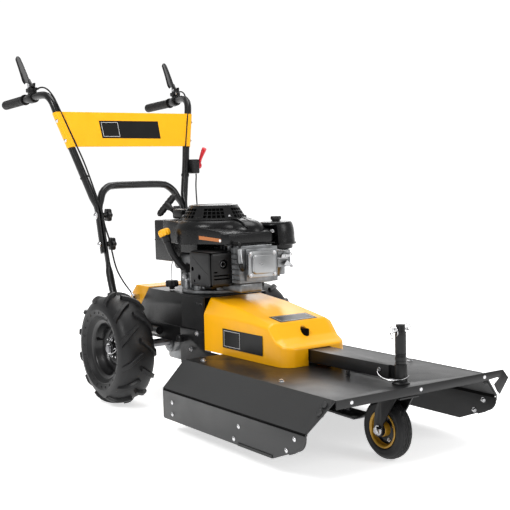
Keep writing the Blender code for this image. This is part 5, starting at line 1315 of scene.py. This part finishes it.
def lever_hardware(side):
    """Lever bracket, pivot, spring and cable adjuster."""
    refine(side_name("lever_bracket", side), "handlebar", "grained_plastic", 0.0010, 2)
    y = side * LEVER[1]
    bits = [rod((LEVER[0], y - 0.0125, LEVER[2]), (LEVER[0], y + 0.0125, LEVER[2]), 0.0027, sides=16),
            hex_bolt((LEVER[0], y + 0.0100, LEVER[2]), (0, 1, 0), 0.0042),
            hex_bolt((LEVER[0], y - 0.0100, LEVER[2]), (0, -1, 0), 0.0042),
            turned([(0.0, 0.0), (0.0036, 0.0), (0.0036, 0.0080), (0.0050, 0.0085), (0.0050, 0.0130), (0.0030, 0.0150),
                    (0.0, 0.0150)], (-0.6010, side * 0.2770, 0.9640), (1.0, -0.35 * side, 0.35), 20, closed=False)]
    coil = [(LEVER[0] + 0.0058 * math.cos(a), y + side * (0.0130 - 0.00015 * a), LEVER[2] + 0.0058 * math.sin(a))
            for a in [math.radians(30.0 * i) for i in range(40)]]
    bits.append(tube(coil, 0.0008, 2))
    bits.append(hex_bolt((-0.6330, y, 0.9390), (-0.3, 0, -1), 0.0040, stud=0.003))
    put(join(bits), side_name("lever_pivot", side), "handlebar", "bright_zinc")
    clamp = [to_mesh(bevel(box((-0.6270, y - 0.0160, 0.9580), (-0.6030, y + 0.0160, 0.9720)), 0.0030, 3)),
             rod((-0.6010, side * 0.2770, 0.9640), (-0.5860, side * 0.2740, 0.9700), 0.0050, 0.0040, 20)]
    put(join(clamp), side_name("lever_clamp", side), "handlebar", "grained_plastic")


def panel():
    """Sheet panel wrapped round both bars, its screws and its blank label."""
    thick = 0.0018
    radius = TUBE_R + thick + 0.0012
    low, high = Vector(PANEL_LOW), Vector(PANEL_HIGH)
    rise = high.z - low.z
    ahead = Vector((rise, 0.0, low.x - high.x)).normalized()
    rows = []
    for share, inset in ((0.0, 0.0012), (0.010, 0.0), (0.99, 0.0), (1.0, 0.0012)):
        centre = low.lerp(high, share)
        half = []
        for angle in (140.0, 126.0, 112.0, 98.0, 84.0, 70.0, 56.0, 42.0, 28.0, 14.0, 0.0):
            turn = math.radians(angle)
            half.append(centre + ahead * (radius - inset) * math.cos(turn)
                        + Vector((0, (radius - inset) * math.sin(turn), 0)))
        half.append(centre + ahead * (radius - inset) - Vector((0, 0.030, 0)))
        rows.append([tuple(p) for p in half] + [(p.x, -p.y, p.z) for p in half[::-1]])
    face = skin(rows[::-1], thick)
    put(face, "dash_panel", "handlebar", "yellow_gloss", ("handle_panel",), angle=30.0)
    sleeves, screws = [], []
    for side in SIDES:
        run = [Vector((low.lerp(high, t).x, side * low.lerp(high, t).y, low.lerp(high, t).z)) for t in (0.02, 0.98)]
        axis = (run[1] - run[0]).normalized()
        out = Vector((0.35, side * 1.0, 0.12)).normalized()
        out = (out - axis * out.dot(axis)).normalized()
        for t in (0.22, 0.80):
            spot = run[0].lerp(run[1], t) + out * (radius - 0.0002)
            screws.append(dome_bolt(spot, out, 0.0046))
        ridge = [run[0].lerp(run[1], i / 10) + ahead * (radius + 0.0001) - Vector((0, side * 0.0135, 0))
                 for i in range(11)]
        sleeves.append(tube(ridge, 0.0014, 2))
    put(join(screws), "dash_screws", "handlebar", "bright_zinc")
    put(join(sleeves), "dash_ridges", "handlebar", "yellow_gloss")

    def face_spot(y, share):
        centre = low.lerp(high, share)
        spot = centre + ahead * (radius - 0.0002)
        return (spot.x, y, spot.z)

    framed_decal("panel_decal", [face_spot(-0.1091, 0.245), face_spot(0.1141, 0.231), face_spot(0.1149, 0.748),
                                 face_spot(-0.1118, 0.750)], 0.0006, [(0.03, 0.10, 0.30, 0.90)])


def scalloped_knob(side, x, z, body, name, node, lower):
    """A six-lobed clamp knob inside the hoop leg, on its stud."""
    leg = HOOP_Y - PRESSED * TUBE_R - GAP
    bar = BAR_Y + PRESSED * TUBE_R + GAP
    start, toward = (x, side * leg, z), (x, 0.0, z)
    knob = ribbed(start, toward, [(0.0, 0.0), (0.0095, 0.0), (0.0095, 0.0095), (0.0120, 0.0115), (0.0215, 0.0118),
                                  (0.0232, 0.0135), (0.0232, 0.0225), (0.0215, 0.0255), (0.0120, 0.0268),
                                  (0.0, 0.0270)], 6, 0.22, 96)
    put(knob, name, body, "grained_plastic", (node,), angle=45.0)
    if lower:
        stud = [rod((x, side * (leg - 0.003), z), (x, side * (bar + 0.002), z), 0.0040, sides=16),
                turned([(0.0, 0.0), (0.0098, 0.0), (0.0098, 0.0012), (0.0092, 0.0040), (0.0068, 0.0068),
                        (0.0030, 0.0079), (0.0, 0.0080)], (x, side * bar, z), (0, side, 0), 28, closed=False)]
    else:
        stud = [rod((x, side * (leg - 0.003), z), (x, side * (HOOP_Y + PRESSED * TUBE_R), z), 0.0040, sides=16)]
    put(join(stud), f"{name}_stud", body, "bright_zinc")


def throttle():
    """Throttle box on the left bar, and its red lever."""
    housing = to_mesh(bevel(box((-0.4250, 0.2100, 0.6720), (-0.3850, 0.2400, 0.7220)), 0.0050, 4))
    clear = tube(bar_path(LEFT, 0.02), TUBE_R + GAP + 0.0003, 4)
    put(cut(housing, [clear]), "throttle_box", "handlebar", "grained_plastic", ("throttle_housing",), angle=30.0)
    x, y, z = THROTTLE_HUB
    run = smooth_path([(x, y + 0.006, z), (x + 0.0120, y + 0.0065, z + 0.025), (x + 0.0350, y + 0.0080, z + 0.058)],
                      0.004)
    stem = tube(run, 0.0052, 4)
    for vertex in stem.data.vertices:
        share = min(1.0, max(0.0, (vertex.co.z - z - 0.020) / 0.030))
        nearest = min(run, key=lambda p: (p - vertex.co).length)
        vertex.co = nearest + (vertex.co - nearest) * (1.0 + 0.60 * share)
    hub = turned([(0.0, 0.0004), (0.0105, 0.0004), (0.0112, 0.0012), (0.0112, 0.0095), (0.0100, 0.0110), (0.0, 0.0112)],
                 (x, y, z), (0, 1, 0), 36, closed=False)
    put(join([hub, stem]), "choke_lever", "throttle_lever", "red_moulded", ("throttle_lever",), angle=40.0)
    screws = [dome_bolt((x - 0.0150, y + 0.0001, z + s), (0, 1, 0), 0.0030) for s in (-0.018, 0.016)]
    put(join(screws), "throttle_screws", "handlebar", "bright_zinc")


def cables():
    """Clutch and throttle cables, run across the fold, and their ends and ties."""
    route = [(-0.3930, 0.2280, 0.6712), (-0.3920, 0.2275, 0.6600), (-0.3800, 0.2180, 0.6200), (-0.3500, 0.2040, 0.5400),
             (-0.3140, 0.1900, 0.4470), (-0.2500, 0.1650, 0.3700), (-0.1600, 0.1350, 0.3400), (-0.0300, 0.1280, 0.3450),
             (0.0900, 0.1300, 0.3800), (0.1836, 0.1380, 0.4150)]
    put(tube(smooth_path(route, 0.008), 0.0025, 3), "throttle_cable_run", "chassis", "cable_rubber",
        ("throttle_cable",), angle=60.0, flow=("handlebar", (-0.3000, 0.180, 0.3500), (-0.3480, 0.180, 0.5000)))
    down = [(-0.5965, 0.2760, 0.9660), (-0.5550, 0.2690, 0.9710), (-0.5200, 0.2630, 0.9610), (-0.4930, 0.2560, 0.9370),
            (-0.4760, 0.2510, 0.9120), (-0.4640, 0.2420, 0.8800), (-0.4270, 0.2080, 0.7700), (-0.4050, 0.1900, 0.7050),
            (-0.3710, 0.1690, 0.6000), (-0.3530, 0.1590, 0.5415), (-0.3440, 0.1570, 0.5080), (-0.3300, 0.1470, 0.4540),
            (-0.3270, 0.1430, 0.4240), (-0.3050, 0.1400, 0.3690), (-0.2650, 0.1380, 0.3300), (-0.2200, 0.1320, 0.2950)]
    for side in SIDES:
        route = [(x, side * y, z) for x, y, z in down]
        put(tube(smooth_path(route, 0.008), 0.0028, 3), side_name("clutch_cable_run", side), "chassis", "cable_rubber",
            (side_name("clutch_cable", side),), angle=60.0,
            flow=("handlebar", (-0.3050, side * 0.15, 0.3800), (-0.3480, side * 0.15, 0.5000)))
        ends = [rod(route[0], Vector(route[0]).lerp(Vector(route[1]), 0.45), 0.0042, 0.0036, 16)]
        put(join(ends), side_name("cable_sleeve", side), "handlebar", "grained_plastic")
        foot = [rod((-0.2200, side * 0.1320, 0.2950), (-0.2080, side * 0.1302, 0.2840), 0.0040, 0.0040, 16),
                box((-0.2120, side * 0.1210 - 0.0130, 0.2740), (-0.2070, side * 0.1210 + 0.0130, 0.2900))]
        put(join(foot), side_name("cable_anchor", side), "chassis", "bright_zinc", width=0.0006)
        tie = turned([(TUBE_R + 0.0002, -0.0030), (TUBE_R + 0.0018, -0.0030), (TUBE_R + 0.0018, 0.0030),
                      (TUBE_R + 0.0002, 0.0030)], (-0.4104, side * 0.1934, 0.6670), (-0.30, side * 0.265, 1.0), 36)
        put(tie, side_name("bar_tie", side), "handlebar", "cable_rubber", angle=30.0)


# ------------------------------------------------------------------ everything
stage()
wheels()
castor()
deck()
chassis()
belt_cover()
rear_cover()
crankcase()
valve_cover()
shroud()
starter()
muffler()
fuel_and_oil()
air_filter()
carburettor()
drive_line()
hoop()
bars()
panel()
for each in SIDES:
    lever(each)
    lever_hardware(each)
    scalloped_knob(each, *FOLD, side_name("lower_knob", each), side_name("hinge_knob", each),
                   side_name("lower_knob", each), True)
    scalloped_knob(each, *CLAMP, side_name("upper_knob", each), side_name("clamp_knob", each),
                   side_name("upper_knob", each), False)
throttle()
cables()

DEFAULT = LOOKS["powder_black"][0]
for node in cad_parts.values():
    if not node.hide_render:
        node.data.materials.clear()
        node.data.materials.append(DEFAULT)
